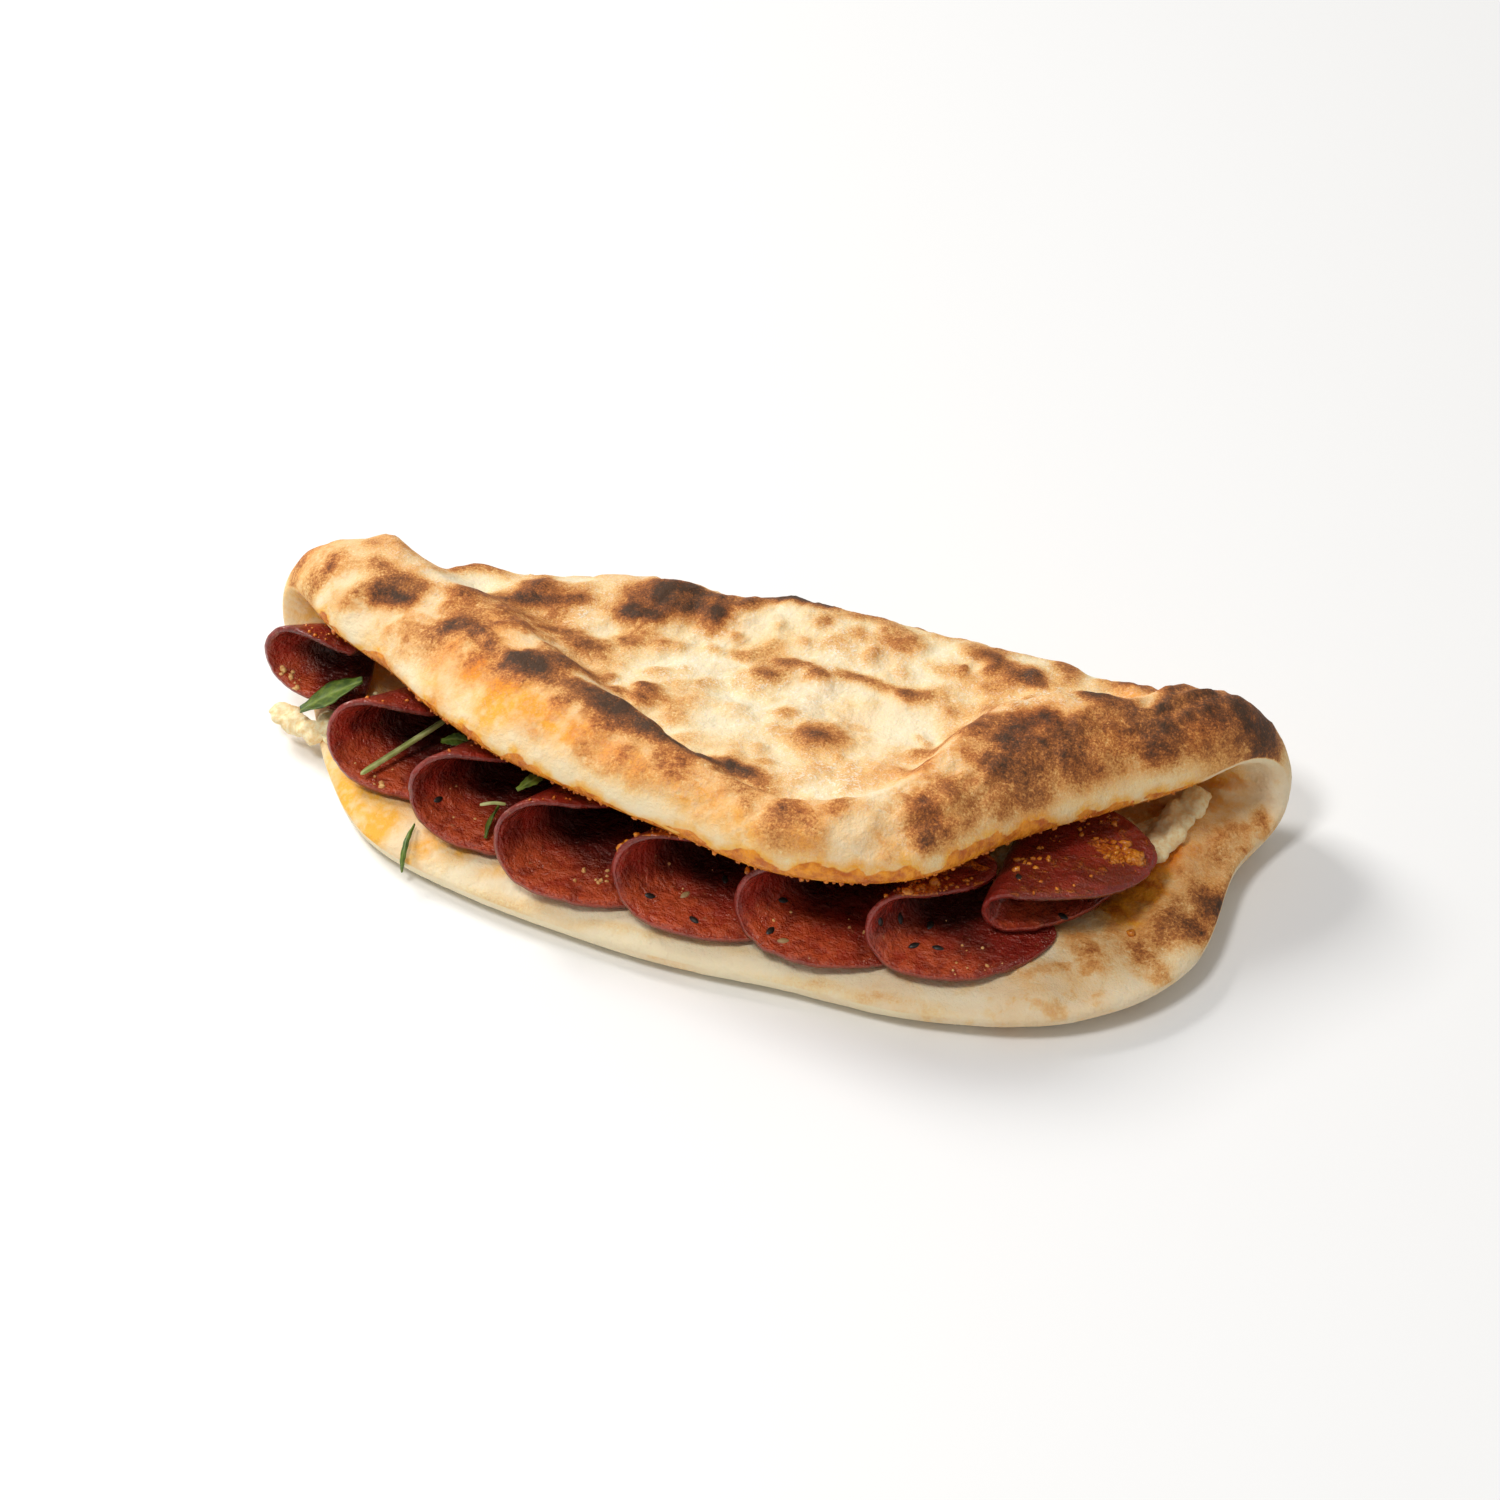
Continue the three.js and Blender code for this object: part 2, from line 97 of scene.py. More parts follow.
# The fold's radius, and how far the lower flat is pressed into the ground, which cuts it level.
FOLD_RADIUS = 17.5
FLAT_SINK = 0.6
# How far the upper flap's front is lifted, and over which way from the fold.
FRONT_LIFT = 6.5
LIFT_FROM, LIFT_TO = 15, 80
# The fold line is y = a + b x + c x^2.
FOLD_BOW = (27.3, 0.07, -0.00107)
# The object's own origin in the design frame.
ORIGIN = np.array([-0.245, -11.165, 0])

# The crust's large blisters: x, s, half length, half width, height.
BLISTERS = [
    (-31, 23, 16, 10, 2.4), (-39, 35, 9, 5, 2), (-53, 48, 10, 7, 2.2), (-66, 29, 12, 7, 1.6),
    (14, 47, 24, 6, 1.4), (14, 65, 6, 6, 1.6), (-23, 71, 9, 7, 1.6), (1, 14, 12, 11, 1.8),
    (-75, 58, 9, 9, 1.6), (-56, 73, 9, 8, 1.6), (-30, 89, 12, 7, 1.2), (0, 95, 11, 6, 1.4),
    (94, 41, 12, 10, 1.8), (86, 64, 10, 10, 1.8), (101, 17, 10, 9, 2.4),
]

# A folded slice is a disc of this radius, creased along a line that lies chord past its middle.
# The crease starts at the mouth, at the place at, and turns from one heading to another, in
# degrees from y towards x. Its own radius is loop, and the underside of the lower half's far end
# is at the height rest. Both halves are tilted, in radians, and the upper one droops, in radians
# a millimetre. Behind the disc's middle the slice is shortened to the share tuck. At the mouth
# the crease is wider by flare and the upper half is tilted up more by gape.
SLICE = dict(
    thickness=2, radius=40, chord=5, loop=7.4, rest=12, lower_tilt=0.075, upper_tilt=0.03,
    droop=0, tuck=0.6, flare=4, gape=0.15,
)
SLICES = [
    dict(at=(-141, -9), turn=(32, 95), radius=25, chord=4, loop=6.9, rest=12.5, tuck=0.3, gape=0.2),
    dict(
        at=(-110.5, -37), turn=(28, 40), radius=33, chord=9, loop=7, rest=11.7, tuck=0.35,
        flare=6.6, gape=0.2,
    ),
    dict(at=(-80, -52), turn=(22, 32), radius=36.5, chord=10, tuck=0.5, flare=6.2, gape=0.2),
    dict(at=(-51, -63), turn=(20, 30), radius=38, chord=11, rest=12, flare=6.4, gape=0.2),
    dict(at=(-16.5, -64), turn=(24, 24), radius=37.5, chord=10.5, rest=12.1, flare=6.2, gape=0.2),
    dict(at=(18, -64), turn=(24, 16), radius=37.5, chord=10.5, rest=12.5, flare=5.2, gape=0.17),
    dict(
        at=(54, -62.5), turn=(18, 8), radius=33, chord=9.4, loop=6.6, rest=14.4,
        lower_tilt=0.045, tuck=0.3, flare=4.6, gape=0.14,
    ),
    dict(
        at=(81.7, -47.5), turn=(0, 2), radius=36.5, chord=-4, loop=4.5, rest=17.4,
        lower_tilt=0.03, upper_tilt=0.02, droop=0.012, tuck=0.4, flare=3, gape=0,
    ),
]
# How far past the crease the droop starts, the steps in which a section is walked from its
# crease, and the arc length over which its direction is taken.
DROOP_START = 4
SECTION_STEPS = 48
SECTION_AHEAD = 0.2

# ------------------------------------------------------------------ what only shows in the look
# Scorched places of the crust: x, s, half length, half width, turn in degrees, strength.
SCORCH = [
    # the front roll, from its left end
    (-78, 56, 6.4, 4.4, 20, 0.9), (-71, 61, 6, 3.6, 30, 0.7), (-59, 73, 5.2, 4, 30, 0.8),
    (-53, 76, 8, 3.8, 30, 0.95), (-58, 79, 8, 4, 25, 0.25), (-45, 83, 5, 3.2, 35, 0.5),
    (-30, 87, 11, 4.2, 25, 0.62), (-37, 83, 8, 3.4, 25, 0.7), (-21, 91, 8, 3.4, 25, 0.66),
    (-12, 96, 6.4, 3.2, 20, 0.7), (-1, 96, 11, 3.2, 8, 1.0),
    (12, 98, 7, 3.2, 12, 0.9), (1, 104, 12, 3.6, 12, 0.36), (-22, 100, 5.8, 3.6, 20, 0.2),
    (-4, 110, 7, 3.4, 15, 0.24), (18, 111, 6.4, 4.4, 10, 0.36), (30, 112, 4.6, 4, 10, 0.3),
    (24, 102, 8, 4, 8, 0.5), (-92, 58, 6, 4, 30, 0.25), (-66, 67, 8, 4, 35, 0.5),
    # the left end and the valley beside it
    (-127, 26, 2.6, 4.8, 30, 0.5), (-115, 38, 2.9, 3.6, 30, 0.5), (-131, 27, 1.7, 3.6, 0, 0.35),
    (-141, 4, 1.6, 5, 0, 0.35), (-123, 24, 4.6, 2.8, 30, 0.35), (-100, 41, 5.4, 2.8, 20, 0.9),
    (-107, 38, 4, 2.6, 20, 0.7), (-101, 35, 6.4, 3, 20, 0.6), (-110, 29, 7, 2.6, 20, 0.5),
    (-96, 38, 3, 3.4, 0, 0.55), (-116, 20, 7, 3, 20, 0.4), (-130, 14, 4, 6, 0, 0.3),
    # the flat, from its left end
    (-85, 38, 5.8, 3.2, 0, 0.36), (-70, 33, 8.7, 3.6, -5, 0.7), (-58, 30, 8, 4.2, 0, 0.62),
    (-57, 44, 6.4, 4, 10, 0.78), (-49, 49, 7.4, 3.8, 10, 0.58), (-38, 34, 8, 4, 5, 0.95),
    (-30, 26, 12.8, 5.6, -8, 1.0), (-22, 27, 6, 5, 0, 0.8), (-37, 43, 4.4, 3.6, 0, 0.76),
    (-24, 71, 7.5, 5.6, 0, 0.56), (-24, 44, 8.7, 4, 0, 0.3), (-19, 34, 6.4, 4, 0, 0.4),
    (-43, 51, 4.6, 5.6, 0, 0.3), (-47, 70, 5.8, 4, 20, 0.3), (-78, 30, 5, 3.2, 0, 0.45),
    (-67, 25, 10, 2.4, 0, 0.4), (-2, 16, 9, 3, 3, 1.0), (6, 15.5, 6, 2.6, 0, 0.85),
    (-11, 21, 4.6, 4, 0, 0.55), (-6, 43, 3.8, 3, 0, 0.74), (8, 44, 6, 1.9, 5, 0.56),
    (17, 47, 4, 2.6, 0, 0.66), (33, 45, 11.6, 2.4, 4, 0.72), (24, 45, 5, 3, 0, 0.6),
    (2, 52, 7, 2.6, 0, 0.5), (14, 67, 4, 3.2, 0, 0.64), (25, 74, 4, 4, 0, 0.54),
    (27, 57, 4.6, 4.8, 0, 0.28), (21, 26, 3.5, 2.4, 0, 0.44), (10, 25, 2.6, 2, 0, 0.5),
    (58, 24, 4.4, 2.4, 0, 0.8), (49, 32, 6.4, 2.8, 0, 0.5), (59, 36, 5.2, 3.2, 0, 0.46),
    (63, 27, 4.4, 3.8, 0, 0.42), (74, 27, 5.6, 3.4, 0, 0.9), (68, 26, 6.4, 3.4, 0, 0.5),
    (66, 41, 6.4, 4, 0, 0.32), (52, 83, 11.6, 3.6, -10, 0.36), (44, 107, 7.5, 4, 0, 0.38),
    (46, 46, 7.5, 4.4, 0, 0.28), (16, 89, 4.6, 3.6, 0, 0.3), (25, 35, 7, 4, 0, 0.25),
    (36, 88, 8, 3, 0, 0.3), (5, 33, 8, 4, 0, 0.25), (-62, 54, 6, 4, 20, 0.3),
    # the right roll
    (86, 58, 7.4, 6.4, 30, 1.0), (81, 65, 6, 4, 20, 0.85), (95, 38, 8.6, 3.8, 0, 1.0),
    (103, 37, 4.4, 4, 0, 0.95), (102, 17, 7.4, 3.2, 0, 0.8), (94, 20, 5, 2.4, 0, 0.7),
    (112, 29, 3.4, 7.2, 0, 0.85), (118, 25, 5.8, 4.8, 0, 0.5), (136, 17, 8, 9, 0, 1.0),
    (130, 22, 6.4, 5.6, 0, 0.85), (124, 24, 4.6, 4.8, 0, 0.9), (124, 32, 3.5, 5.6, 0, 0.5),
    (77, 68, 3.8, 3.6, 0, 0.8), (77, 80, 4.4, 3.6, 0, 0.85), (83, 74, 5, 4.8, 0, 0.62),
    (92, 63, 4.6, 5.2, 0, 0.8), (94, 54, 4.1, 8, 0, 0.55), (102, 56, 4.6, 6.4, 0, 0.5),
    (100, 45, 5, 5.6, 0, 0.6), (108, 44, 4.6, 7.2, 0, 0.52), (74, 96, 4.1, 7.2, 20, 0.68),
    (69, 105, 8.7, 5.6, 20, 0.55), (70, 90, 3.5, 4.8, 0, 0.5), (87, 80, 5.2, 5.6, 0, 0.5),
    (114, 45, 5.2, 4.8, 0, 0.46), (118, 36, 4.6, 7.2, 0, 0.5), (84, 88, 5.8, 4, 0, 0.4),
    (62, 103, 5.8, 4.8, 0, 0.36), (98, 65, 4.6, 4, 0, 0.4), (128, 34, 7.5, 3.2, 0, 0.36),
    (96, 28, 8, 8, 0, 0.4), (108, 20, 7, 5, 0, 0.3),
    (84, 72, 17, 15, 30, 0.26), (104, 46, 14, 17, 0, 0.3), (124, 27, 12, 12, 0, 0.32),
]
# The same on the inside of the lower flap, where it shows beyond the filling.
INNER_SCORCH = [
    (137, -54, 7, 6.4, 10, 1.0), (132, -67, 7, 4.6, 10, 0.8), (139, -45, 3.4, 5, 0, 0.8),
    (119, -83, 10, 4.4, -20, 0.38), (125, -73, 6.4, 4.2, 0, 0.45), (112, -92, 8, 3.3, -20, 0.3),
    (132, -55, 4, 4.6, 0, 0.5), (129, -33, 3, 4.2, 0, 0.3), (139, -16, 2.6, 4.6, 0, 0.55),
    (133, -37, 3, 5, 0, 0.42), (138, -32, 2.4, 7, 0, 0.32), (124, -49, 3.5, 4.2, 0, 0.36),
    (125, -63, 4.1, 5, 0, 0.4), (106, -90, 7.5, 3.3, 0, 0.36), (104, -99, 7, 2.6, 0, 0.3),
    (126, -84, 9, 3, -30, 0.4), (96, -106, 10, 2, -20, 0.2), (134, -26, 4, 5, 0, 0.3),
    (-119, -54, 1.6, 9, 0, 0.24), (-110, -76, 1.6, 8, -20, 0.2), (-97, -94, 6, 1.6, -40, 0.2),
    (-65, -105, 5, 2, 20, 0.2), (-76, -108, 10, 1.5, -20, 0.2), (118, -72, 12, 9, -30, 0.26),
    (130, -44, 7, 14, 0, 0.26),
    (-50, -116, 16, 1.5, -10, 0.26), (0, -122, 30, 1.4, 0, 0.22), (50, -126, 24, 1.4, 5, 0.22),
]
# Golden, oily stains in the crust: the same six numbers.
GOLD = [
    (-68, 74, 5, 5.6, 0, 0.9), (-57, 85, 8, 5.4, 25, 1.0), (-45, 92, 8, 4.2, 30, 0.85),
    (-56, 92, 6.4, 3, 30, 0.55), (-34, 98, 8, 4, 25, 0.7), (-17, 105, 9, 4.4, 20, 0.7),
    (3, 113, 10, 3.6, 15, 0.62), (-78, 66, 3.4, 6.4, 0, 0.5), (19, 119, 9, 3.4, 15, 0.6),
    (37, 121, 8, 3, 10, 0.6), (-121, 38, 5, 4, 20, 0.4), (-105, 51, 4.6, 3, 30, 0.4),
    (-81, 74, 6, 3, 40, 0.5), (102, 25, 5, 3.2, 0, 0.8), (101, 61, 9, 4, 0, 0.3),
    (133, 27, 7, 3.2, 0, 0.35), (61, 113, 9, 3.2, 0, 0.45), (30, 110, 14, 5, 5, 0.3),
    (54, 88, 14, 8, 0, 0.35), (30, 80, 20, 10, 0, 0.2), (66, 34, 14, 8, 0, 0.3),
]
# The same on the inner face.
INNER_GOLD = [
    (-105, -76, 6, 8, 20, 1.0), (-91, -92, 8, 5, 30, 0.9), (-112, -60, 4, 9, 0, 0.7),
    (-76, -101, 8, 4, 30, 0.8), (-64, -101, 6, 3, 20, 0.7), (-50, -106, 8, 3, 20, 0.6),
    (-96, -80, 10, 9, 30, 0.8), (-110, -48, 6, 9, 0, 0.8),
    (117, -56, 8, 10, 0, 0.9), (113, -72, 8, 6, 0, 0.9), (123, -40, 4.4, 7, 0, 0.5),
    (127, -18, 5, 5, 0, 0.5), (133, -46, 3.4, 6, 0, 0.45), (102, -85, 7, 4.6, 0, 0.5),
    (124, 0, 9, 14, 0, 0.9), (112, 20, 14, 14, 0, 0.8), (-118, -30, 6, 10, 0, 0.7),
    (-125, 10, 18, 24, 0, 0.9), (-110, 40, 16, 14, 0, 0.8),
]
# Orange sauce along the upper flap's lower edge: degrees round the oval, half the width in
# degrees, strength.
SAUCE_EDGE = [
    (160, 9, 0.8), (148, 8, 0.9), (136, 7, 0.8), (126, 7, 1.0), (114, 7, 0.9), (103, 6, 0.9),
    (90, 7, 0.7), (79, 6, 0.8), (70, 6, 1.0), (62, 5, 0.9), (52, 7, 1.0), (42, 7, 1.0),
    (32, 6, 0.9), (22, 5, 0.6),
]
# Pools of sauce on the inner face, with the six numbers of a scorched place.
SAUCE_POOLS = [
    (112, -52, 5, 8, 15, 1.0), (116, -60, 7, 6.4, 0, 1.0), (108, -70, 8, 3.6, -20, 0.9),
    (101, -78, 4, 2.6, 0, 0.7), (119, -44, 3.4, 7, 0, 0.8), (126, -24, 3, 6, 0, 0.4),
    (130, -4, 5, 8, 0, 0.5), (118, 14, 10, 8, 0, 0.6), (-104, -68, 3, 3, 0, 0.4),
    (-96, -80, 4, 2, 30, 0.4), (-70, -98, 5, 2, 20, 0.3),
]


# ------------------------------------------------------------------ numbers on whole arrays
def smooth(x, low, high):
    """Rises from 0 at low to 1 at high, as 3t^2 - 2t^3."""
    t = np.clip((x - low) / (high - low), 0, 1)
    return t * t * (3 - 2 * t)


def mixed(a, b, share):
    """a where share is 0, b where it is 1."""
    return a + (b - a) * share


def clamped(x, low, high):
    return np.minimum(np.maximum(x, low), high)


def unit(vectors):
    return vectors / np.linalg.norm(vectors, axis=-1, keepdims=True)


def curved(a, b, c, d, t):
    """The Catmull-Rom curve at share t of the way from b to c, with a before and d after them."""
    return b + 0.5 * t * (c - a + t * (2 * a - 5 * b + 4 * c - d + t * (3 * (b - c) + d - a)))


NOISE_PERIOD = 32


def value_noise(points, size, seed):
    """Random numbers at the corners of cubes of this size, blended smoothly between them."""
    table = np.random.default_rng(seed).uniform(-1, 1, (NOISE_PERIOD,) * 3)
    scaled = points / size
    cell = np.floor(scaled).astype(int)
    inside = scaled - cell
    inside = inside * inside * (3 - 2 * inside)
    total = np.zeros(points.shape[:-1])
    for corner in np.ndindex(2, 2, 2):
        i, j, k = np.moveaxis((cell + np.array(corner)) % NOISE_PERIOD, -1, 0)
        weight = np.prod(np.where(np.array(corner), inside, 1 - inside), axis=-1)
        total += weight * table[i, j, k]
    return total


def rough_noise(points, size, seed, octaves=3):
    """Value noise plus the same at half the size and strength, and so on."""
    return sum(value_noise(points, size / 2**k, seed + k) / 2**k for k in range(octaves))


# ln 2 and a power: how fast a soft oval fades.
SPOT_FADE = 0.693
SPOT_POWER = 1.25


def spots(x, s, table):
    """How strongly soft ovals cover each point. An oval falls to half at its half length and
    half width, and where ovals overlap, what each leaves bare is multiplied."""
    bare = np.ones_like(x)
    for cx, cs, length, width, turn, strength in table:
        a = math.radians(turn)
        along = ((x - cx) * math.cos(a) + (s - cs) * math.sin(a)) / length
        across = ((s - cs) * math.cos(a) - (x - cx) * math.sin(a)) / width
        bare *= 1 - strength * np.exp(-SPOT_FADE * (along**2 + across**2) ** SPOT_POWER)
    return 1 - bare


# ------------------------------------------------------------------ meshes
def placed(points):
    """Millimetres of the design frame to metres of the object's frame, eased into its box."""
    low, high = np.array(CAD_BOX) / MM
    moved = points - ORIGIN
    moved = high - EASE * np.logaddexp(0, (high - moved) / EASE)
    eased = low + EASE * np.logaddexp(0, (moved - low) / EASE)
    height = clamped(moved[..., 2:], low[2], high[2])
    return np.concatenate([eased[..., :2], height], axis=-1) * MM


def new_object(name, points, faces, attributes=None):
    """A smooth mesh from points in millimetres and faces of one size, with point attributes."""
    mesh = bpy.data.meshes.new(name)
    faces = np.asarray(faces)
    sides = faces.shape[1]
    mesh.vertices.add(len(points))
    mesh.vertices.foreach_set("co", placed(points).astype(np.float32).ravel())
    mesh.loops.add(faces.size)
    mesh.loops.foreach_set("vertex_index", faces.astype(np.int32).ravel())
    mesh.polygons.add(len(faces))
    mesh.polygons.foreach_set("loop_start", np.arange(0, faces.size, sides, dtype=np.int32))
    mesh.update(calc_edges=True)
    mesh.polygons.foreach_set("use_smooth", np.full(len(faces), True))
    for key, values in (attributes or {}).items():
        layer = mesh.attributes.new(key, "FLOAT", "POINT")
        layer.data.foreach_set("value", np.asarray(values, np.float32).ravel())
    mesh.validate()
    obj = bpy.data.objects.new(name, mesh)
    bpy.context.scene.collection.objects.link(obj)
    return obj


def grid_faces(rows, columns, wrap_columns=False):
    """Quads between the points of a grid, as indices counted along each row."""
    r = np.arange(rows - 1)[:, None]
    c = np.arange(columns if wrap_columns else columns - 1)[None, :]
    after = (c + 1) % columns
    quads = [r * columns + c, r * columns + after, (r + 1) * columns + after, (r + 1) * columns + c]
    return np.stack(np.broadcast_arrays(*quads), axis=-1).reshape(-1, 4)


def capped_faces(rings, columns, flipped=False):
    """Triangles of a grid of rings closed by two poles, which are its last two points."""
    quads = grid_faces(rings, columns, wrap_columns=True)
    c = np.arange(columns)
    after = (c + 1) % columns
    last, pole = (rings - 1) * columns, 0 * c + rings * columns
    fans = np.concatenate([
        np.stack([pole, after, c], axis=-1), np.stack([pole + 1, last + c, last + after], axis=-1),
    ])
    if flipped:
        quads, fans = quads[:, ::-1], fans[:, [0, 2, 1]]
    return np.concatenate([quads[:, [0, 1, 2]], quads[:, [0, 2, 3]], fans])


def slab_faces(rows, columns):
    """Quads of two like grids, one over the other, closed round their border."""
    top = grid_faces(rows, columns)
    bottom = top[:, ::-1] + rows * columns
    border = np.concatenate([
        np.arange(columns - 1),
        np.arange(rows - 1) * columns + columns - 1,
        (rows - 1) * columns + np.arange(columns - 1, 0, -1),
        np.arange(rows - 1, 0, -1) * columns,
    ])
    after = np.roll(border, -1)
    under = rows * columns
    side = np.stack([border, border + under, after + under, after], axis=-1)
    return np.concatenate([top, bottom, side])


def finished(obj, material, replaced=()):
    """Gives a piece its material, its body and the solids that it stands for."""
    obj.data.materials.clear()
    obj.data.materials.append(material)
    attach(obj, BODY)
    if replaced:
        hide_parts(*replaced)
    return obj


# ------------------------------------------------------------------ the dough's surface
# How many rows of the grid cover the flat, the rim's fall and the rim, on the crust and on the
# inner face, and the share of its columns that the upper flap gets.
CRUST_ROWS = (80, 14, 26)
INNER_ROWS = (34, 8, 18)
UPPER_SHARE = 0.69
# How far apart the two faces lie in the noise, in millimetres, so that they differ.
SIDES_APART = 40
# The small blisters' number and seed, how fast wrinkles follow each other in radians a
# millimetre, the most that the underside stands out, and how far oil climbs above the sauce.
BUBBLES = (420, 5)
WRINKLE_RATE = 1.15
UNDERSIDE_RELIEF = 0.2
OIL_ABOVE_SAUCE = 2.2


def round_oval(values, angle):
    """A smooth closed curve through values at even angles round the oval."""
    n = len(values)
    at = (angle / TURN * n) % n
    i = np.floor(at).astype(int)
    return curved(*(values[(i + k) % n] for k in (-1, 0, 1, 2)), at - i)


def dough_half(distance, rim_height, rim_width):
    """Half the thickness at a distance in from the edge: a quarter ellipse, then a smooth fall."""
    t = np.clip(distance / rim_width, 0, 1)
    rim = rim_height * np.sqrt(1 - (1 - t) ** 2)
    fall = smooth(distance, rim_width, rim_width * (1 + RIM_FALL))
    return np.where(t < 1, rim, mixed(rim_height, CRUMB_HALF, fall))


def lower_rise(x, s):
    """How far the lower flap's middle is raised where its rim is thicker than the crumb, so that
    its underside stays level."""
    angle = np.arctan2(s, x)
    width = round_oval(RIM_WIDTHS, angle)
    distance = round_oval(OVAL_RADII, angle) - np.hypot(x, s)
    rim = round_oval(RIM_HEIGHTS, angle)
    return dough_half(np.maximum(distance, width), rim, width) - CRUMB_HALF


def dough_middle(x, s):
    """The folded dough's middle surface: half a round bend along a bowed line, then two flats."""
    turn = clamped(s / FOLD_RADIUS, -math.pi / 2, math.pi / 2)
    run = np.maximum(0, np.abs(s) - FOLD_RADIUS * math.pi / 2)
    y = FOLD_BOW[0] + FOLD_BOW[1] * x + FOLD_BOW[2] * x * x
    z = CRUMB_HALF - FLAT_SINK + FOLD_RADIUS * (1 + np.sin(turn))
    low = lower_rise(x, s) * smooth(-turn, 0, math.pi / 2)
    high = FRONT_LIFT * smooth(run, LIFT_FROM, LIFT_TO)
    z = z + np.where(s < 0, low, high)
    return np.stack([x, y + FOLD_RADIUS * np.cos(turn) - run, z], axis=-1)


def crustward(x, s):
    """The unit vector out of the dough on its crust side."""
    along_x = dough_middle(x + 1, s) - dough_middle(x - 1, s)
    along_s = dough_middle(x, s + 1) - dough_middle(x, s - 1)
    return unit(np.cross(along_s, along_x))


def blister_height(x, s):
    """The sum of a bell for each large blister."""
    total = np.zeros_like(x)
    for cx, cs, length, width, height in BLISTERS:
        total += height * np.exp(-(((x - cx) / length) ** 2) - ((s - cs) / width) ** 2)
    return total


def bubble_table(count, seed):
    """A table for spots() of small blisters strewn over the upper flap."""
    rng = np.random.default_rng(seed)
    angle = rng.uniform(0, math.pi, count)
    reach = round_oval(OVAL_RADII, angle) * np.sqrt(rng.uniform(0.02, 0.98, count))
    length = rng.uniform(1.6, 5.5, count)
    return np.stack([
        reach * np.cos(angle), reach * np.sin(angle), length, length * rng.uniform(0.6, 1, count),
        rng.uniform(-90, 90, count), rng.uniform(0.4, 1, count),
    ], axis=-1)


def wrinkles(distance, flat):
    """Grooves that run along the rolls, in patches: the cubed sine of the distance from the edge,
    bent by noise."""
    bend = 5 * value_noise(flat, 26, 71) + 2.2 * value_noise(flat, 9, 72)
    lines = np.sin((distance + bend) * WRINKLE_RATE) ** 3
    where = smooth(value_noise(flat, 22, 73), -0.1, 0.45)
    return lines * where * smooth(distance, 3, 9) * (1 - smooth(distance, 20, 32))


def skin_relief(x, s, distance, flat, crust, bubbles):
    """How far the skin stands out of plain dough. The crust has lumps, dents, small blisters,
    raised scorch and wrinkles. The inner face is smoother, except at its right end. All of that
    fades out at the edge, both faces have a fine grain, and little stands out underneath."""
    lumps = 1.1 * value_noise(flat, 19, 11) + 0.9 * value_noise(flat, 8.5, 12)
    lumps = lumps + 0.3 * rough_noise(flat, 4, 21)
    dents = 0.8 * smooth(value_noise(flat, 20, 31), 0.25, 0.8)
    baked = np.where(crust, spots(x, s, SCORCH), spots(x, s, INNER_SCORCH))
    outside = lumps - dents + 1.2 * bubbles + baked + 0.6 * wrinkles(distance, flat)
    right_end = smooth(x, 70, 110)
    inside = (0.4 + 0.9 * right_end) * lumps
    inside = inside + right_end * (1.6 * rough_noise(flat, 13, 51) + baked)
    grain = 0.1 * rough_noise(flat, 1.6, 41, 2)
    relief = np.where(crust, outside, inside) * smooth(distance, 0, 5) + grain
    underneath = np.where(crust, smooth(-s, -12, 4), 0)
    return mixed(relief, np.minimum(relief, UNDERSIDE_RELIEF), underneath)


def dough_points(angle, distance, side):
    """The dough's skin at an angle round the oval, a distance in from its edge and a side (1 is
    the crust and -1 the inner face). Its points are the middle surface, plus half the thickness,
    the large blisters and the relief along the normal, cut level at the ground."""
    reach = round_oval(OVAL_RADII, angle) - distance
    x, s = reach * np.cos(angle), reach * np.sin(angle)
    flat = np.stack([x, s, SIDES_APART * side], axis=-1)
    crust = side > 0
    rim = round_oval(RIM_HEIGHTS, angle)
    inside = mixed(*RIM_INSIDE, smooth(s, *INSIDE_BLEND))
    rim_height = np.where(crust, rim, mixed(CRUMB_HALF, rim, inside))
    half = dough_half(distance, rim_height, round_oval(RIM_WIDTHS, angle))
    half = half + np.where(crust, blister_height(x, s) * np.minimum(1, distance / rim), 0)
    bubbles = np.where(crust, spots(x, s, bubble_table(*BUBBLES)), 0)
    relief = skin_relief(x, s, distance, flat, crust, bubbles)
    height = side * (half + relief)
    points = dough_middle(x, s) + crustward(x, s) * height[..., None]
    points[..., 2] = np.maximum(points[..., 2], 0)
    return SimpleNamespace(
        points=points, x=x, s=s, angle=angle, distance=distance, flat=flat, crust=crust,
        bubbles=bubbles, relief=relief, height=height,
    )


def dough_surface(settings):
    """The dough's skin as a grid: rows of distances in from the edge over the crust, the edge,
    and back over the inner face; columns of angles round the oval. The rim's rows are even
    steps of its quarter ellipse."""
    upper = int(settings.columns * UPPER_SHARE)
    angles = np.concatenate([
        np.linspace(0, math.pi, upper, endpoint=False),
        np.linspace(math.pi, TURN, settings.columns - upper, endpoint=False),
    ])
    oval, width = round_oval(OVAL_RADII, angles), round_oval(RIM_WIDTHS, angles)
    thin = width * (1 + RIM_FALL)

    def distances(flat, fall, rim):
        inner = [mixed(oval, thin, t) for t in np.linspace(0, 1, flat + 1)[1:]]
        middle = [mixed(thin, width, t) for t in np.linspace(0, 1, fall + 1)[1:]]
        quarter = [math.pi / 2 * (1 - t) for t in np.linspace(0, 1, rim + 1)[1:-1]]
        return np.array(inner + middle + [width * (1 - math.cos(a)) for a in quarter])

    crust, inside = distances(*CRUST_ROWS), distances(*INNER_ROWS)
    distance = np.concatenate([crust, np.zeros((1, len(angles))), inside[::-1]])
    side = np.concatenate([np.ones(len(crust) + 1), -np.ones(len(inside))])[:, None]
    return dough_points(angles[None, :] + 0 * distance, distance, side + 0 * distance)


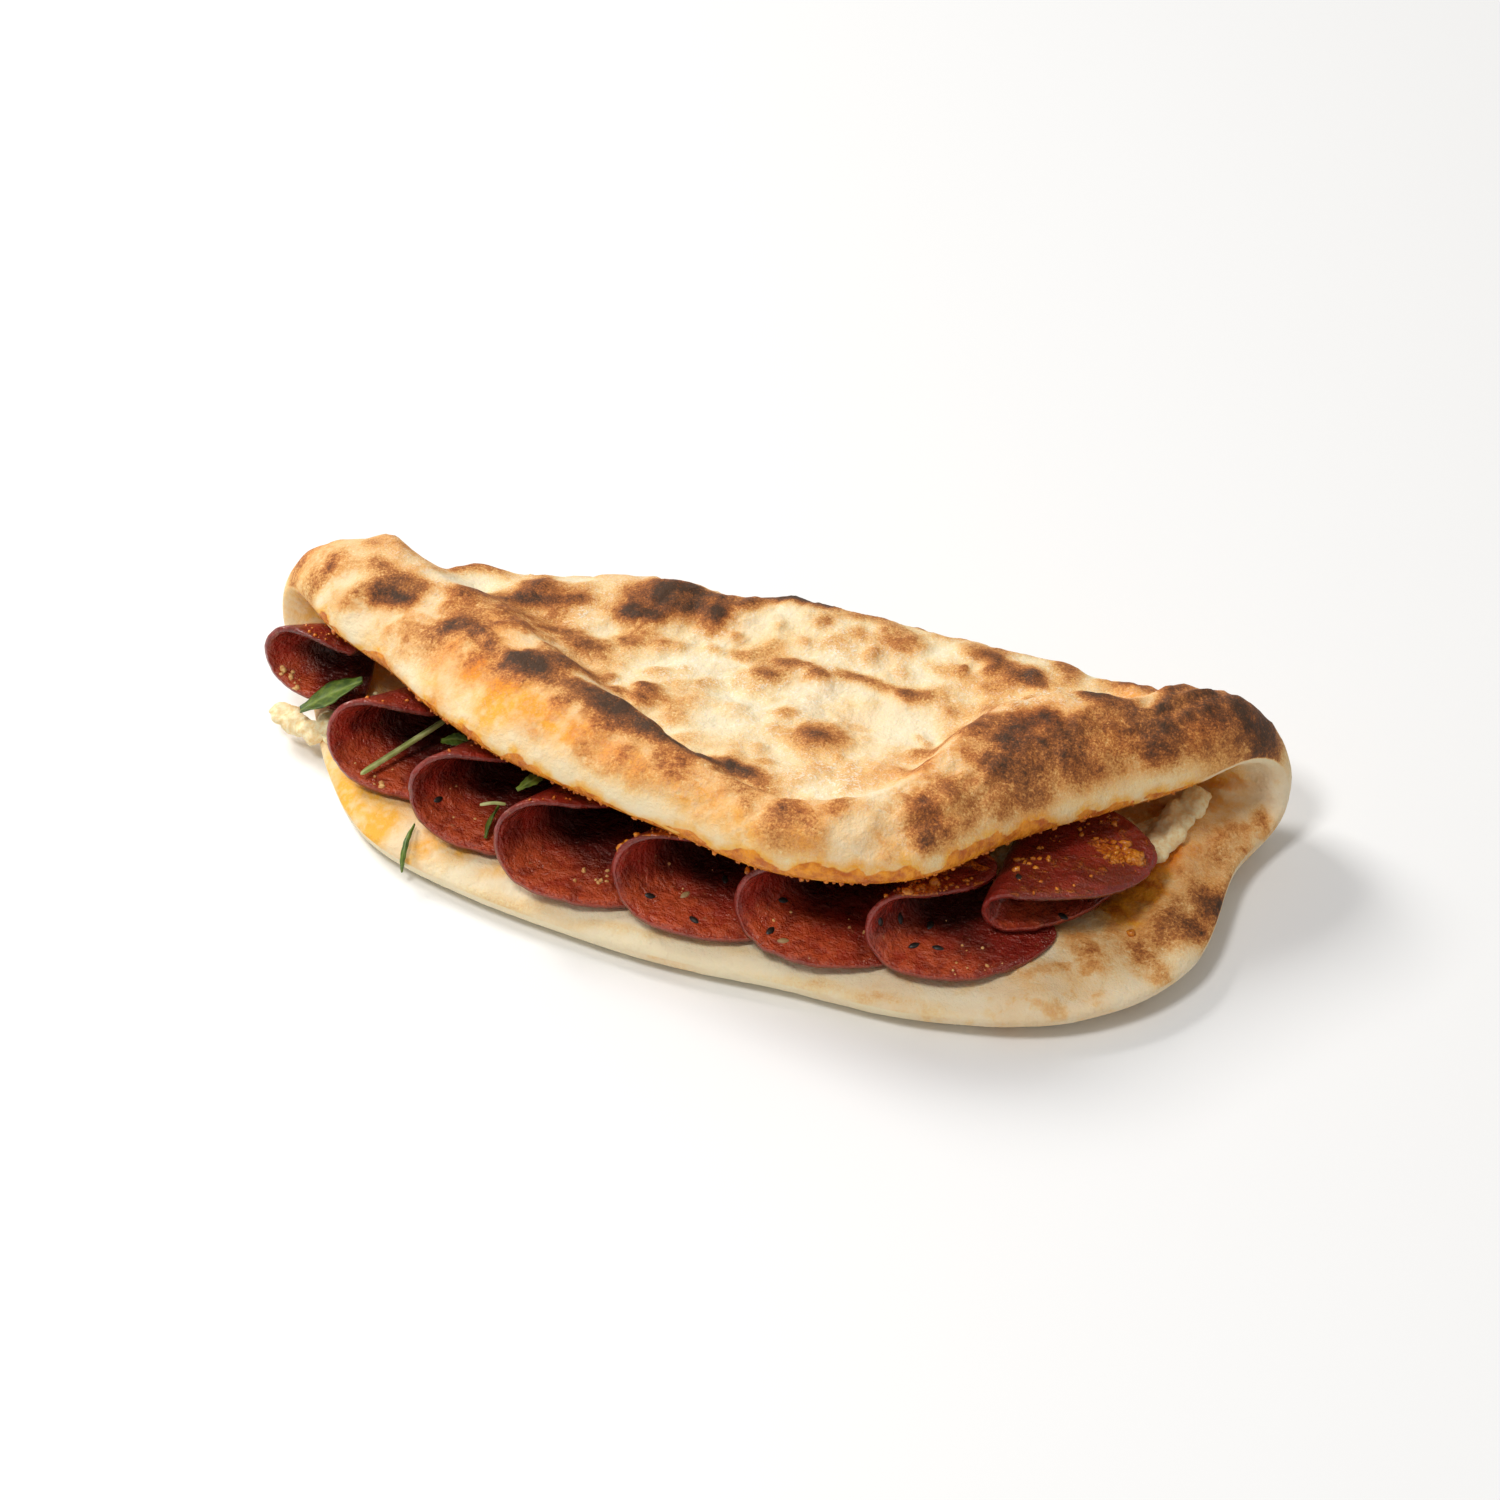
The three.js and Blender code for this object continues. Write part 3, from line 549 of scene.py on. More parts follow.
def ragged(skin):
    """The skin's flat places moved by noise, which gives stains a ragged outline."""
    return skin.x + 1.7 * rough_noise(skin.flat, 9, 81), skin.s + 1.7 * rough_noise(skin.flat, 9, 91)


def both_faces(skin, outer, inner):
    """One table's soft ovals on the crust and another's on the inner face."""
    return np.where(skin.crust, spots(*skin.ragged, outer), spots(*skin.ragged, inner))


def gold_mask(skin):
    """Golden stains, and patches of gold along the upper flap's rim."""
    on_rim = skin.crust & (skin.s > 0) & (skin.distance < round_oval(RIM_WIDTHS, skin.angle))
    patches = 0.34 * np.where(on_rim, smooth(value_noise(skin.flat, 14, 66), -0.4, 0.6), 0)
    return np.maximum(both_faces(skin, GOLD, INNER_GOLD), patches)


def scorch_mask(skin, gold):
    """Scorched places, mottled by noise. The crust also has freckles on its small blisters and
    a tan on what stands out, is evenly brown underneath, and is paler low down on its upper
    edge. Golden places and the inner face are less scorched."""
    mottle = 1 + 0.3 * rough_noise(skin.flat, 4.2, 85)
    baked = both_faces(skin, SCORCH, INNER_SCORCH) ** 1.25 * mottle
    freckles = 0.55 * skin.bubbles * smooth(value_noise(skin.flat, 24, 61), -0.6, 0.3)
    tan = 0.16 * smooth(skin.relief, 0.3, 1.6) * smooth(skin.distance, 4, 12)
    brown = baked + freckles * (1 - clamped(baked, 0, 1)) + tan
    underneath = (0.42 + 0.3 * rough_noise(skin.flat, 20, 65)) * smooth(skin.distance, 7, 22)
    brown = mixed(brown, underneath, smooth(-skin.s, -6, 24))
    brown = brown * (1 - 0.75 * (1 - smooth(skin.height, 2, 8)) * smooth(skin.s, 20, 50))
    paler = np.where(skin.crust, 1 - 0.12 * smooth(skin.x, 60, 80), 0.85)
    return np.where(skin.crust, brown, baked) * (1 - 0.45 * clamped(gold, 0, 1)) * paler


def flour_mask(skin):
    """Flour: a little everywhere, and most of it on the upper flap away from the edge."""
    upper = 0.35 + 0.65 * smooth(skin.distance, 8, 30)
    flour = np.where(skin.crust, mixed(0.3, upper, smooth(skin.s, -14, 10)), 0.3)
    return flour * (0.65 + 0.35 * value_noise(skin.flat, 18, 67))


def pale_mask(skin):
    """Unbaked dough: the upper flap's edge low down, and the lower flap's edge except at its
    right end."""
    upper_edge = 1 - smooth(skin.height, 3, 9)
    lower_edge = smooth(skin.x, 100, 60) * (1 - smooth(skin.distance, 6, 14))
    edge = np.where(skin.s > 0, upper_edge, lower_edge)
    return edge * smooth(value_noise(skin.flat, 16, 68), -0.8, 0.1)


def sauce_masks(skin):
    """Orange sauce, and the gold of the oil round it. Along the upper flap's edge the sauce
    reaches up the skin to an uneven level and the oil a little higher. Pools lie on the inner
    face, and both thin out under the filling."""
    degrees = np.degrees(skin.angle) % 360
    wet = np.zeros_like(skin.x)
    for at, half, strength in SAUCE_EDGE:
        wet = np.maximum(wet, strength * np.exp(-(((degrees - at) / half) ** 2)))
    level = -2.6 + 4.9 * wet + 2.6 * rough_noise(skin.flat, 8, 69)
    near_edge = smooth(wet, 0.02, 0.3) * (1 - smooth(skin.distance, 16, 26)) * smooth(skin.s, 0, 16)
    sauce = smooth(level - skin.height, -0.8, 0.8) * near_edge
    oil = smooth(level + OIL_ABOVE_SAUCE - skin.height, -2, 2) * near_edge
    sauce = np.maximum(sauce, both_faces(skin, [], SAUCE_POOLS))
    filled = np.where(skin.crust, 0, smooth(skin.s, -60, -42)) * smooth(skin.distance, 4, 16)
    filled = filled * (0.5 + 0.5 * value_noise(skin.flat, 9, 71))
    return np.maximum(sauce, 0.45 * filled), np.maximum(0.75 * oil, 0.95 * filled)


def build_dough(settings):
    """The dough's mesh, closed by a point in the middle of each face, with its masks."""
    skin = dough_surface(settings)
    skin.ragged = ragged(skin)
    gold = gold_mask(skin)
    sauce, oil = sauce_masks(skin)
    masks = {
        "scorch": scorch_mask(skin, gold), "gold": np.maximum(gold, oil),
        "flour": flour_mask(skin), "sauce": sauce, "pale": pale_mask(skin),
    }
    centre = np.zeros((1, 1))
    reach = round_oval(OVAL_RADII, centre)
    middles = [dough_points(centre, reach, np.full((1, 1), side)).points for side in (1, -1)]
    points = np.concatenate([part.reshape(-1, 3) for part in (skin.points, *middles)])
    attributes = {
        key: np.append(values.ravel(), [values[0, 0], values[-1, 0]])
        for key, values in masks.items()
    }
    return new_object("dough_crust", points, capped_faces(*skin.x.shape), attributes)


# ------------------------------------------------------------------ salami
def crease_section(spec, length, depth_share):
    """Where a slice's section lies at an arc length from the crease: how far out, and how high
    over the lower half's far end. It has a straight lower half, a round crease and an upper
    half. Towards the mouth the crease is wider and the upper half rises. Also its direction."""
    open_share = np.maximum(0, -depth_share) ** 1.5
    loop = spec["loop"] + spec["flare"] * open_share
    upper = spec["upper_tilt"] + spec["gape"] * open_share
    lower = spec["lower_tilt"]
    bend = math.pi - lower - upper
    middle = math.pi / 2 + (upper - lower) / 2
    droop_from = loop * bend / 2 + DROOP_START

    def walked(reach):
        step = reach / SECTION_STEPS
        shares = (np.arange(SECTION_STEPS) + 0.5).reshape((-1,) + (1,) * reach.ndim)
        at = step[None] * shares
        heading = middle - clamped(at / loop, -bend / 2, bend / 2)
        heading = heading - spec["droop"] * np.maximum(0, at - droop_from)
        return (np.cos(heading) * step).sum(0), (np.sin(heading) * step).sum(0)

    out, up = walked(length)
    out_ahead, up_ahead = walked(length + SECTION_AHEAD)
    low = walked(0 * length - (spec["radius"] + spec["chord"]))[1]
    return out, up - low, out_ahead - out, up_ahead - up


def slice_points(spec, length, depth, offset):
    """Points of a folded slice at an arc length from the crease, a depth along it, and a
    distance off its middle surface, which is positive on the inner face. The crease turns
    evenly from its first heading to its last, so a chord of it heads halfway."""
    front = math.sqrt(spec["radius"] ** 2 - spec["chord"] ** 2)
    run = depth + front
    first, last = (math.radians(v) for v in spec["turn"])
    path = mixed(first, last, run / front / 4)
    turn = mixed(first, last, run / front / 2)
    out, up, step_out, step_up = crease_section(spec, length, depth / front)
    step = np.hypot(step_out, step_up)
    away = out + step_up / step * offset
    x = spec["at"][0] + run * np.sin(path) + away * np.cos(turn)
    y = spec["at"][1] + run * np.cos(path) - away * np.sin(turn)
    z = spec["rest"] + spec["thickness"] / 2 + up - step_out / step * offset
    return np.stack([x, y, z], axis=-1)


# A slice's rows stop just short of its rim, where they would shrink to a point. Slices lie this
# far apart in the noise, and the rim thins over this band of the radius.
ROW_REACH = 0.999
SLICES_APART = 50
RIM_BAND = (0.955, 1.0)
# A thick smear of paste on the last slice's outer face: soft ovals in arc length and depth.
SMEARED_SLICE = 8
SMEAR = [(31, -3.5, 6.5, 2.6, 10, 1), (24, -1, 4, 1.8, 30, 0.5)]


def slice_masks(number, noise, length, depth, round_share, radius, settings):
    """A slice's masks, each for its inner and then its outer face: the rim; paste, which lies in
    patches on the upper half outside and at the rim inside; the outer face; painted shade in the
    fold, darker further in and higher up; and painted light on the front of the lower half."""
    none = np.zeros_like(round_share)
    rim = smooth(round_share, 0.955, 0.99)
    strength = settings.paste[number - 1]
    upper = smooth(length, 6, 14)
    front = smooth(-depth, -4, radius * 0.75)
    paste = upper * smooth(noise(7, 160) + 0.5 * front, -0.15, 0.45)
    if number == SMEARED_SLICE:
        paste = np.maximum(paste * 0.8, 2.4 * spots(length, depth, SMEAR))
    rim_paste = 0.4 * strength * smooth(noise(5, 170), 0.2, 0.7) * smooth(round_share, 0.8, 0.95)
    share = -depth / radius
    # Painted shade: the inner face darkens further into the fold and over the whole upper half,
    # under its overhang.
    deep = smooth(share, 0.66, 0.3) * (0.35 + 0.65 * smooth(length, -34, -16)) + 0.9 * upper
    # Painted light: the lower half's inner face is lighter towards the front.
    lip = smooth(share, 0.3, 0.75) * smooth(length, -1, -12)
    return {
        "rim": [rim, rim], "paste": [rim_paste, paste * strength], "outside": [none, none + 1],
        "deep": [clamped(deep, 0, 1), none], "lip": [lip, none],
    }


def build_slice(number, spec, settings):
    """A folded disc: rows of arc length and columns of depth, both closer together at the rim,
    with a thickness that swells and thins, a frayed rim, a slight wave and fine grain."""
    rows, columns = settings.rows, settings.columns
    radius = spec["radius"]
    reach = -radius * np.cos(math.pi * np.linspace(0, 1, rows))[:, None] * ROW_REACH
    across = np.sin(np.linspace(-1, 1, columns) * math.pi / 2)[None, :]
    half = np.sqrt(np.maximum(0, radius**2 - reach**2))
    layer = reach * 0 + SLICES_APART * number
    flat = np.stack(np.broadcast_arrays(reach, half * across, layer), axis=-1)

    def noise(size, seed, octaves=3):
        return rough_noise(flat, size, seed + number, octaves)

    round_share = np.hypot(flat[..., 0], flat[..., 1]) / radius
    frayed = 0.35 * noise(3.4, 100) - 0.35
    shrink = 1 + frayed / radius * smooth(round_share, 0.9, 1)
    length = flat[..., 0] * shrink - spec["chord"]
    depth = flat[..., 1] * shrink
    depth = depth * np.where(depth > 0, spec["tuck"], 1)
    wave = 0.45 * noise(13, 140, 2) * smooth(round_share, 0.2, 0.9)
    grain = 0.09 * noise(1.5, 120, 2)
    swell = 0.12 * noise(6, 130, 2)
    thick = spec["thickness"] / 2 - 0.3 * smooth(round_share, *RIM_BAND) + swell
    points = np.concatenate([
        slice_points(spec, length, depth, side * (thick + grain) + 0.5 * wave).reshape(-1, 3)
        for side in (1, -1)
    ])
    masks = slice_masks(number, noise, length, depth, round_share, radius, settings)
    attributes = {key: np.concatenate([v.ravel() for v in pair]) for key, pair in masks.items()}
    return new_object(f"salami_slice_{number}", points, slab_faces(rows, columns), attributes)


# Seeds: slice, arc length from the crease, depth, side (1 is the inner face), pale or not.
SEEDS = [
    (3, -7.8, -28.1, 1, 0), (5, -13, -29.9, 1, 0), (5, -27.1, -27.2, 1, 0),
    (5, -21.5, -10.4, 1, 0), (5, -18.8, -22.3, 1, 1), (6, -14.3, -31.7, 1, 0),
    (6, -19.3, -31.7, 1, 1), (6, -8.7, -22.1, 1, 0), (7, -1.5, -26.9, 1, 0),
    (7, -5.2, -19.3, 1, 0), (7, -13, -14.1, 1, 0), (7, -14.3, -22.8, 1, 0),
    (7, -19.7, -19.8, 1, 0), (8, -22.1, -23.8, 1, 0), (8, 10.4, -27, -1, 0),
]
# Half a seed's length, width and thickness, how much it narrows at its ends, how far each is
# turned past the one before in radians, and the rows and columns of its ball.
SEED_HALF = np.array([1.75, 0.95, 0.6])
SEED_NARROWING = np.array([0, 0.35, 0.3])
SEED_TURN = 2.4
SEED_GRID = (9, 12)


def ball(rows, columns):
    """A unit ball as points on rings between two poles, and its triangles."""
    polar = np.linspace(0, math.pi, rows)[1:-1, None]
    round_angle = np.arange(columns)[None, :] * TURN / columns
    rings = np.stack([
        np.sin(polar) * np.cos(round_angle), np.sin(polar) * np.sin(round_angle),
        np.cos(polar) + 0 * round_angle,
    ], axis=-1).reshape(-1, 3)
    points = np.concatenate([rings, [[0, 0, 1], [0, 0, -1]]])
    return points, capped_faces(rows - 2, columns, flipped=True)


def strewn(name, shape, centres, frames, sizes):
    """One mesh of many copies of a shape: each copy is scaled, turned by its frame and moved."""
    points, faces = shape
    copies = points[None] * sizes[:, None, :]
    copies = np.einsum("nij,npj->npi", frames, copies) + centres[:, None, :]
    count = len(centres)
    index = faces[None] + (np.arange(count) * len(points))[:, None, None]
    return new_object(name, copies.reshape(-1, 3), index.reshape(-1, 3))


def frames_from(up, along):
    """Turning matrices whose third column is up and whose first lies nearest to along."""
    up = unit(up)
    along = unit(along - (along * up).sum(-1, keepdims=True) * up)
    return np.stack([along, np.cross(up, along), up], axis=-1)


def full_spec(number):
    return {**SLICE, **SLICES[number - 1]}


def on_slice(number, length, depth, side):
    """A point of a slice's face, the way out of it and the way along it."""
    spec = full_spec(number)
    length, depth = np.atleast_1d(float(length)), np.atleast_1d(float(depth))
    half = spec["thickness"] / 2
    point, above, ahead = (
        slice_points(spec, length, depth + step, side * (half + lift))
        for step, lift in ((0, 0), (0, 1), (0.5, 0))
    )
    return point[0], (above - point)[0], (ahead - point)[0]


def build_seeds(name, pale):
    """The seeds of one colour: small balls, narrower towards their two ends, half sunk into the
    slices and each turned further than the one before."""
    rows = [row for row in SEEDS if row[-1] == pale]
    centres, ups, alongs = (np.array(v) for v in zip(*[on_slice(*row[:4]) for row in rows]))
    turns = np.arange(len(rows)) * SEED_TURN
    cos, sin, zero = np.cos(turns), np.sin(turns), 0 * turns
    spin = np.stack([cos, -sin, zero, sin, cos, zero, zero, zero, zero + 1], -1)
    frames = frames_from(ups, alongs) @ spin.reshape(-1, 3, 3)
    points, faces = ball(*SEED_GRID)
    pointed = points * (1 - points[:, :1] ** 2 * SEED_NARROWING)
    return strewn(name, (pointed, faces), centres, frames, np.tile(SEED_HALF, (len(rows), 1)))


# ------------------------------------------------------------------ cheese
CHEESE_EASING = 3


def build_cheese(settings):
    """The cheese's solid, remeshed into small even faces and moved along its normals by noise:
    soft lumps, fine grain, and ridges where a third noise crosses zero."""
    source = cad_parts["cheese"]
    mesh = source.data.copy()
    obj = bpy.data.objects.new("soft_cheese", mesh)
    bpy.context.scene.collection.objects.link(obj)
    remesh = obj.modifiers.new("even faces", "REMESH")
    remesh.mode = "VOXEL"
    remesh.voxel_size = settings.grain * MM
    ease = obj.modifiers.new("ease", "SMOOTH")
    ease.iterations = CHEESE_EASING
    evaluated = obj.evaluated_get(bpy.context.evaluated_depsgraph_get())
    shape = bpy.data.meshes.new_from_object(evaluated)
    obj.modifiers.clear()
    obj.data = shape
    shape.name = "soft_cheese"
    count = len(shape.vertices)
    points, normals = np.empty(count * 3, np.float32), np.empty(count * 3, np.float32)
    shape.vertices.foreach_get("co", points)
    shape.vertices.foreach_get("normal", normals)
    points, normals = points.reshape(-1, 3), normals.reshape(-1, 3)
    place = points / MM
    ridges = 1 - 2 * np.abs(rough_noise(place, 6, 203, 2))
    rough = 0.5 * rough_noise(place, 4.5, 201) + 0.3 * rough_noise(place, 1.4, 205, 2)
    points = points + normals * (rough + 1.1 * ridges)[:, None] * MM
    points = clamped(points, *np.array(CAD_BOX))
    shape.vertices.foreach_set("co", points.astype(np.float32).ravel())
    shape.polygons.foreach_set("use_smooth", np.full(len(shape.polygons), True))
    shape.update()
    bpy.data.meshes.remove(mesh)
    return obj


# ------------------------------------------------------------------ rocket
# Half a leaf's thickness in its middle, and the rows and columns of a leaf and of a stem.
LEAF_HALF = 0.35
LEAF_GRID = (48, 15)
STEM_GRID = (60, 20)
# Each leaf's path, its width, the way across it, how much it curls and waves, and how deep its
# lobes are, as a share of its width.
LEAVES = {
    "rocket_leaf_1": dict(
        path=[(-126, -20.5, 15.2), (-119, -16.5, 19.5), (-110, -13, 24.5)],
        width=11.6, across=(0.45, -0.8, 0.25), wave=0.5, lobes=0.02,
    ),
    "rocket_leaf_2": dict(
        path=[(-82, -24, 19.6), (-77.5, -24.5, 22), (-73, -26.5, 24)],
        width=4, across=(0.3, -0.9, -0.2), wave=0.3, lobes=0.07,
    ),
    "rocket_leaf_3": dict(
        path=[(-57.4, -54, 17), (-57.8, -49.5, 19), (-57, -45, 21)],
        width=3.6, across=(0.5, 0, 0.85), wave=0.2, lobes=0.07,
    ),
    "rocket_leaf_4": dict(
        path=[(-48.5, -51.5, 35), (-45.5, -47, 35.8), (-43.8, -43, 35.8)],
        width=4.4, across=(0.9, -0.4, 0.1), wave=0.3, lobes=0.07,
    ),
    "rocket_strip": dict(
        path=[(-79.6, -51, 12.8), (-79.4, -57, 12.4), (-79, -61.6, 9.6), (-79.2, -62.3, 5)],
        width=1.7, across=(1, 0.1, 0), wave=0.1, lobes=0.07,
    ),
}
# Each stem's path, radius and number of ribs.
STEMS = {
    "rocket_stem_1": dict(
        path=[(-98.8, -42.6, 18.2), (-91, -30.5, 20.2), (-82.2, -18.5, 23.4)], radius=0.9, ribs=5,
    ),
    "rocket_stem_2": dict(
        path=[(-60.6, -49.6, 24.4), (-57, -48.2, 25), (-53.8, -47.2, 24.6)], radius=0.5, ribs=3,
    ),
}


def smooth_path(path, count):
    """Points at even shares along a smooth curve through a few, and its unit tangents."""
    p = np.array(path, float)
    p = np.concatenate([[2 * p[0] - p[1]], p, [2 * p[-1] - p[-2]]])
    at = np.linspace(0, len(path) - 1 - 1e-6, count)
    i = np.floor(at).astype(int)
    points = curved(p[i], p[i + 1], p[i + 2], p[i + 3], (at - i)[:, None])
    return points, unit(np.gradient(points, axis=0))


def build_leaf(name, leaf):
    """A thin leaf: its width swells and tapers with shallow lobes, and it thins towards its
    sides. Across the path it curls up as v^2 and waves, with ripples and a groove along its
    middle. Its mask shows the middle vein and slanting side veins."""
    rows, columns = LEAF_GRID
    points, tangents = smooth_path(leaf["path"], rows)
    across = np.array(leaf["across"], float)
    sideways = unit(across - (tangents @ across)[:, None] * tangents)
    normals = np.cross(sideways, tangents)
    share = np.linspace(0, 1, rows)[:, None]
    v = np.linspace(-1, 1, columns)[None, :]
    half = leaf["width"] / 2 * (0.12 + 0.88 * np.sin(math.pi * (0.06 + 0.86 * share)))
    lobes = 1 - leaf["lobes"] * (1 + np.sin(34 * share + 2 * np.sign(v)))
    groove = 0.12 * np.exp(-((v * 6) ** 2))
    ripples = 0.06 * leaf["width"] / 9 * np.sin(26 * share - 5 * np.abs(v))
    lift = leaf["wave"] * (v * v + 0.6 * v * np.sin(9 * share)) - groove + ripples
    thin = LEAF_HALF * (1 - 0.55 * v * v)
    skin = np.concatenate([
        (points[:, None] + (half * lobes * v)[..., None] * sideways[:, None]
         + (lift + side * thin)[..., None] * normals[:, None]).reshape(-1, 3) for side in (1, -1)
    ])
    side_veins = np.exp(-((np.sin(13 * share - 3.2 * np.abs(v)) * 4) ** 2))
    vein = np.exp(-((v * 7) ** 2)) + 0.5 * side_veins
    faces = slab_faces(rows, columns)
    return new_object(name + "_blade", skin, faces, {"vein": np.tile(vein.ravel(), 2)})


def build_stem(name, stem):
    """A ribbed stem: a ring whose radius is a little wavy, carried along the path with a slow
    twist and closed at both ends, where its radius falls to nothing. Its mask shows the ribs."""
    rows, columns = STEM_GRID
    points, tangents = smooth_path(stem["path"], rows)
    across = unit(np.cross(tangents, [0, 0, 1]))
    above = np.cross(across, tangents)
    share = np.linspace(0, 1, rows)[:, None]
    angle = np.arange(columns)[None, :] * TURN / columns
    taper = np.sqrt(np.maximum(0, 1 - (2 * share - 1) ** 12))
    ribs = np.cos(stem["ribs"] * angle + 2 * share)
    radius = stem["radius"] * taper * (0.9 + 0.1 * ribs)
    skin = points[:, None] + (radius * np.cos(angle))[..., None] * across[:, None]
    skin = skin + (radius * np.sin(angle))[..., None] * above[:, None]
    faces = grid_faces(rows, columns, wrap_columns=True)
    return new_object(name + "_rib", skin.reshape(-1, 3), faces, {"vein": 0.5 + 0.5 * ribs})


# ------------------------------------------------------------------ crumbs, sauce and paste
# The rows and columns of a small lump's ball, and how much it is squashed or stretched.
LUMP_GRID = (5, 6)
LUMP_STRETCH = (0.7, 1.2)
# Sizes of the bits of paste on the edge and on the slices, and how far from the edge or from the
# rim they may lie. A slice's bits start past the crease and stop short of the rim.
EDGE_BIT_SIZES = (0.25, 0.75)
EDGE_BIT_REACH = (0, 5)
SLICE_BIT_SIZES = (0.2, 0.6)
SLICE_BIT_REACH = (0.5, 12)
PAST_CREASE = 9
SHORT_OF_RIM = 4
SLICE_BIT_LIFT = 0.1
# How far a cluster's bits stay off the rim, and how deep they sink into the face.
CLUSTER_MARGIN = 1.2
CLUSTER_SINK = 0.05


def lump_shape(seed):
    """A ball with few faces, made uneven by noise."""
    points, faces = ball(*LUMP_GRID)
    return points * (1 + 0.6 * value_noise(points, 0.9, seed))[:, None], faces


def scattered_frames(count, rng):
    return frames_from(rng.normal(size=(count, 3)), rng.normal(size=(count, 3)))


def build_bits(name, places, sizes, seed):
    """Small uneven lumps at the given places, each squashed and turned at random."""
    rng = np.random.default_rng(seed)
    places = np.asarray(places, float)
    sizes = np.asarray(sizes, float)[:, None] * rng.uniform(*LUMP_STRETCH, (len(places), 3))
    return strewn(name, lump_shape(seed), places, scattered_frames(len(places), rng), sizes)


def paste_places(rng, settings):
    """Places and sizes of the bits of orange paste: along the upper flap's lower edge, and near
    the mouth on the slices' outer faces."""
    count = settings.edge_bits
    angle = np.radians(np.concatenate([
        rng.uniform(at - half, at + half, count) for at, half, _ in SAUCE_EDGE
    ]))
    distance = rng.uniform(*EDGE_BIT_REACH, len(angle))
    centres = [dough_points(angle, distance, -np.ones_like(angle)).points]
    sizes = [rng.uniform(*EDGE_BIT_SIZES, len(angle))]
    for number, density in enumerate(settings.paste, start=1):
        spec = full_spec(number)
        many = int(settings.slice_bits * density)
        far = spec["radius"] - spec["chord"] - SHORT_OF_RIM
        length = rng.uniform(PAST_CREASE, max(PAST_CREASE + 3, far), many)
        limit = np.sqrt(np.maximum(0, spec["radius"] ** 2 - (length + spec["chord"]) ** 2))
        depth = -limit + rng.uniform(*SLICE_BIT_REACH, many)
        keep = limit > 8
        outer_face = np.full(keep.sum(), -(spec["thickness"] / 2 + SLICE_BIT_LIFT))
        centres.append(slice_points(spec, length[keep], depth[keep], outer_face))
        sizes.append(rng.uniform(*SLICE_BIT_SIZES, keep.sum()))
    return np.concatenate(centres), np.concatenate(sizes)


# Pale bits on the inner faces: slice, arc length, depth, how many, spread, size.
INNER_BITS = [
    (1, -9, -24, 12, 2.4, 0.85), (1, -12, -21, 6, 2, 0.7), (2, -23, -28, 13, 2.8, 0.8),
    (2, -14, -33, 4, 1, 0.9), (4, -30, -22, 8, 2, 0.8), (3, -16, -24, 4, 3, 0.5),
    (7, -36, -14, 9, 3, 0.6), (7, -31, -23, 8, 3, 0.55), (7, -24, -18, 5, 6, 0.4),
    (5, -14, -20, 4, 7, 0.4), (6, -20, -20, 5, 8, 0.4), (3, -10, -20, 4, 5, 0.4),
    (4, -16, -26, 4, 7, 0.4), (6, -30, -14, 5, 3, 0.5), (3, -30, -22, 6, 4, 0.5),
]
# Orange bits on the outer faces, with the same six numbers.
OUTER_BITS = [
    (8, 32.5, -2, 16, 1.5, 1.5), (8, 29.5, -6.5, 9, 1.2, 1.2), (8, 19, 0.5, 9, 4, 0.7),
    (8, 13, -12, 10, 3.4, 0.7), (8, 22, 6, 9, 3, 0.7), (8, 9, -20, 10, 1.6, 0.8),
    (7, 13, -24, 30, 2.6, 1.0), (7, 18, -16, 30, 4, 1.1), (7, 22, -8, 20, 3, 0.9),
    (5, 9, -31, 14, 2.4, 0.9), (5, 16, -25, 14, 3, 0.8), (4, 19, -23.5, 7, 1.4, 1.2),
    (4, 25, -17, 5, 1.2, 1.1), (6, 12, -29, 12, 2.4, 0.8), (1, 15, -9, 9, 3, 0.8),
]
# Lone lumps: x, y, z, size. Orange drops, then bits of cheese.
ORANGE_DROPS = [
    (112.1, -34.9, 12.3, 2.0), (114.6, -33.4, 12.3, 1.4), (117.5, -28.6, 13.1, 1.3),
    (113.6, -31, 12.5, 1.1),
]
CHEESE_CRUMBS = [
    (84.7, -58.6, 9.4, 1.7), (86.6, -59.4, 9.2, 1.2), (82.9, -58, 9.6, 1.1),
    (-14.65, -53.55, 39.2, 1.5), (-13.4, -54, 39.3, 1.1),
]


def clustered(rng, table, side):
    """Places and sizes of small bits in clusters on one face of the slices."""
    centres, sizes = [], []
    for number, length, depth, count, spread, size in table:
        spec = full_spec(number)
        lengths = length + rng.normal(0, spread, count)
        depths = depth + rng.normal(0, spread, count)
        keep = np.hypot(lengths + spec["chord"], depths) < spec["radius"] - CLUSTER_MARGIN
        face = np.full(keep.sum(), side * (spec["thickness"] / 2 - CLUSTER_SINK))
        centres.append(slice_points(spec, lengths[keep], depths[keep], face))
        sizes.append(size * (0.4 + 1.1 * rng.uniform(0, 1, keep.sum()) ** 2))
    return np.concatenate(centres), np.concatenate(sizes)


# ------------------------------------------------------------------ shaders
class Value:
    """A node's output, with arithmetic that adds Math nodes."""

    def __init__(self, sheet, socket):
        self.sheet, self.socket = sheet, socket

    def _math(self, operation, a, b, clamp=False):
        return self.sheet.node("ShaderNodeMath", {0: a, 1: b}, operation=operation, use_clamp=clamp)

    def __add__(self, other):
        return self._math("ADD", self, other)

    def __sub__(self, other):
        return self._math("SUBTRACT", self, other)

    def __rsub__(self, other):
        return self._math("SUBTRACT", other, self)

    def __mul__(self, other):
        return self._math("MULTIPLY", self, other)

    __radd__ = __add__
    __rmul__ = __mul__

    def clamp(self):
        return self._math("ADD", self, 0.0, clamp=True)

    def step(self, low, high):
        """Rises smoothly from 0 at low to 1 at high."""
        inputs = {"Value": self, "From Min": low, "From Max": high, "To Min": 0.0, "To Max": 1.0}
        settings = {"interpolation_type": "SMOOTHSTEP", "clamp": True}
        return self.sheet.node("ShaderNodeMapRange", inputs, **settings)


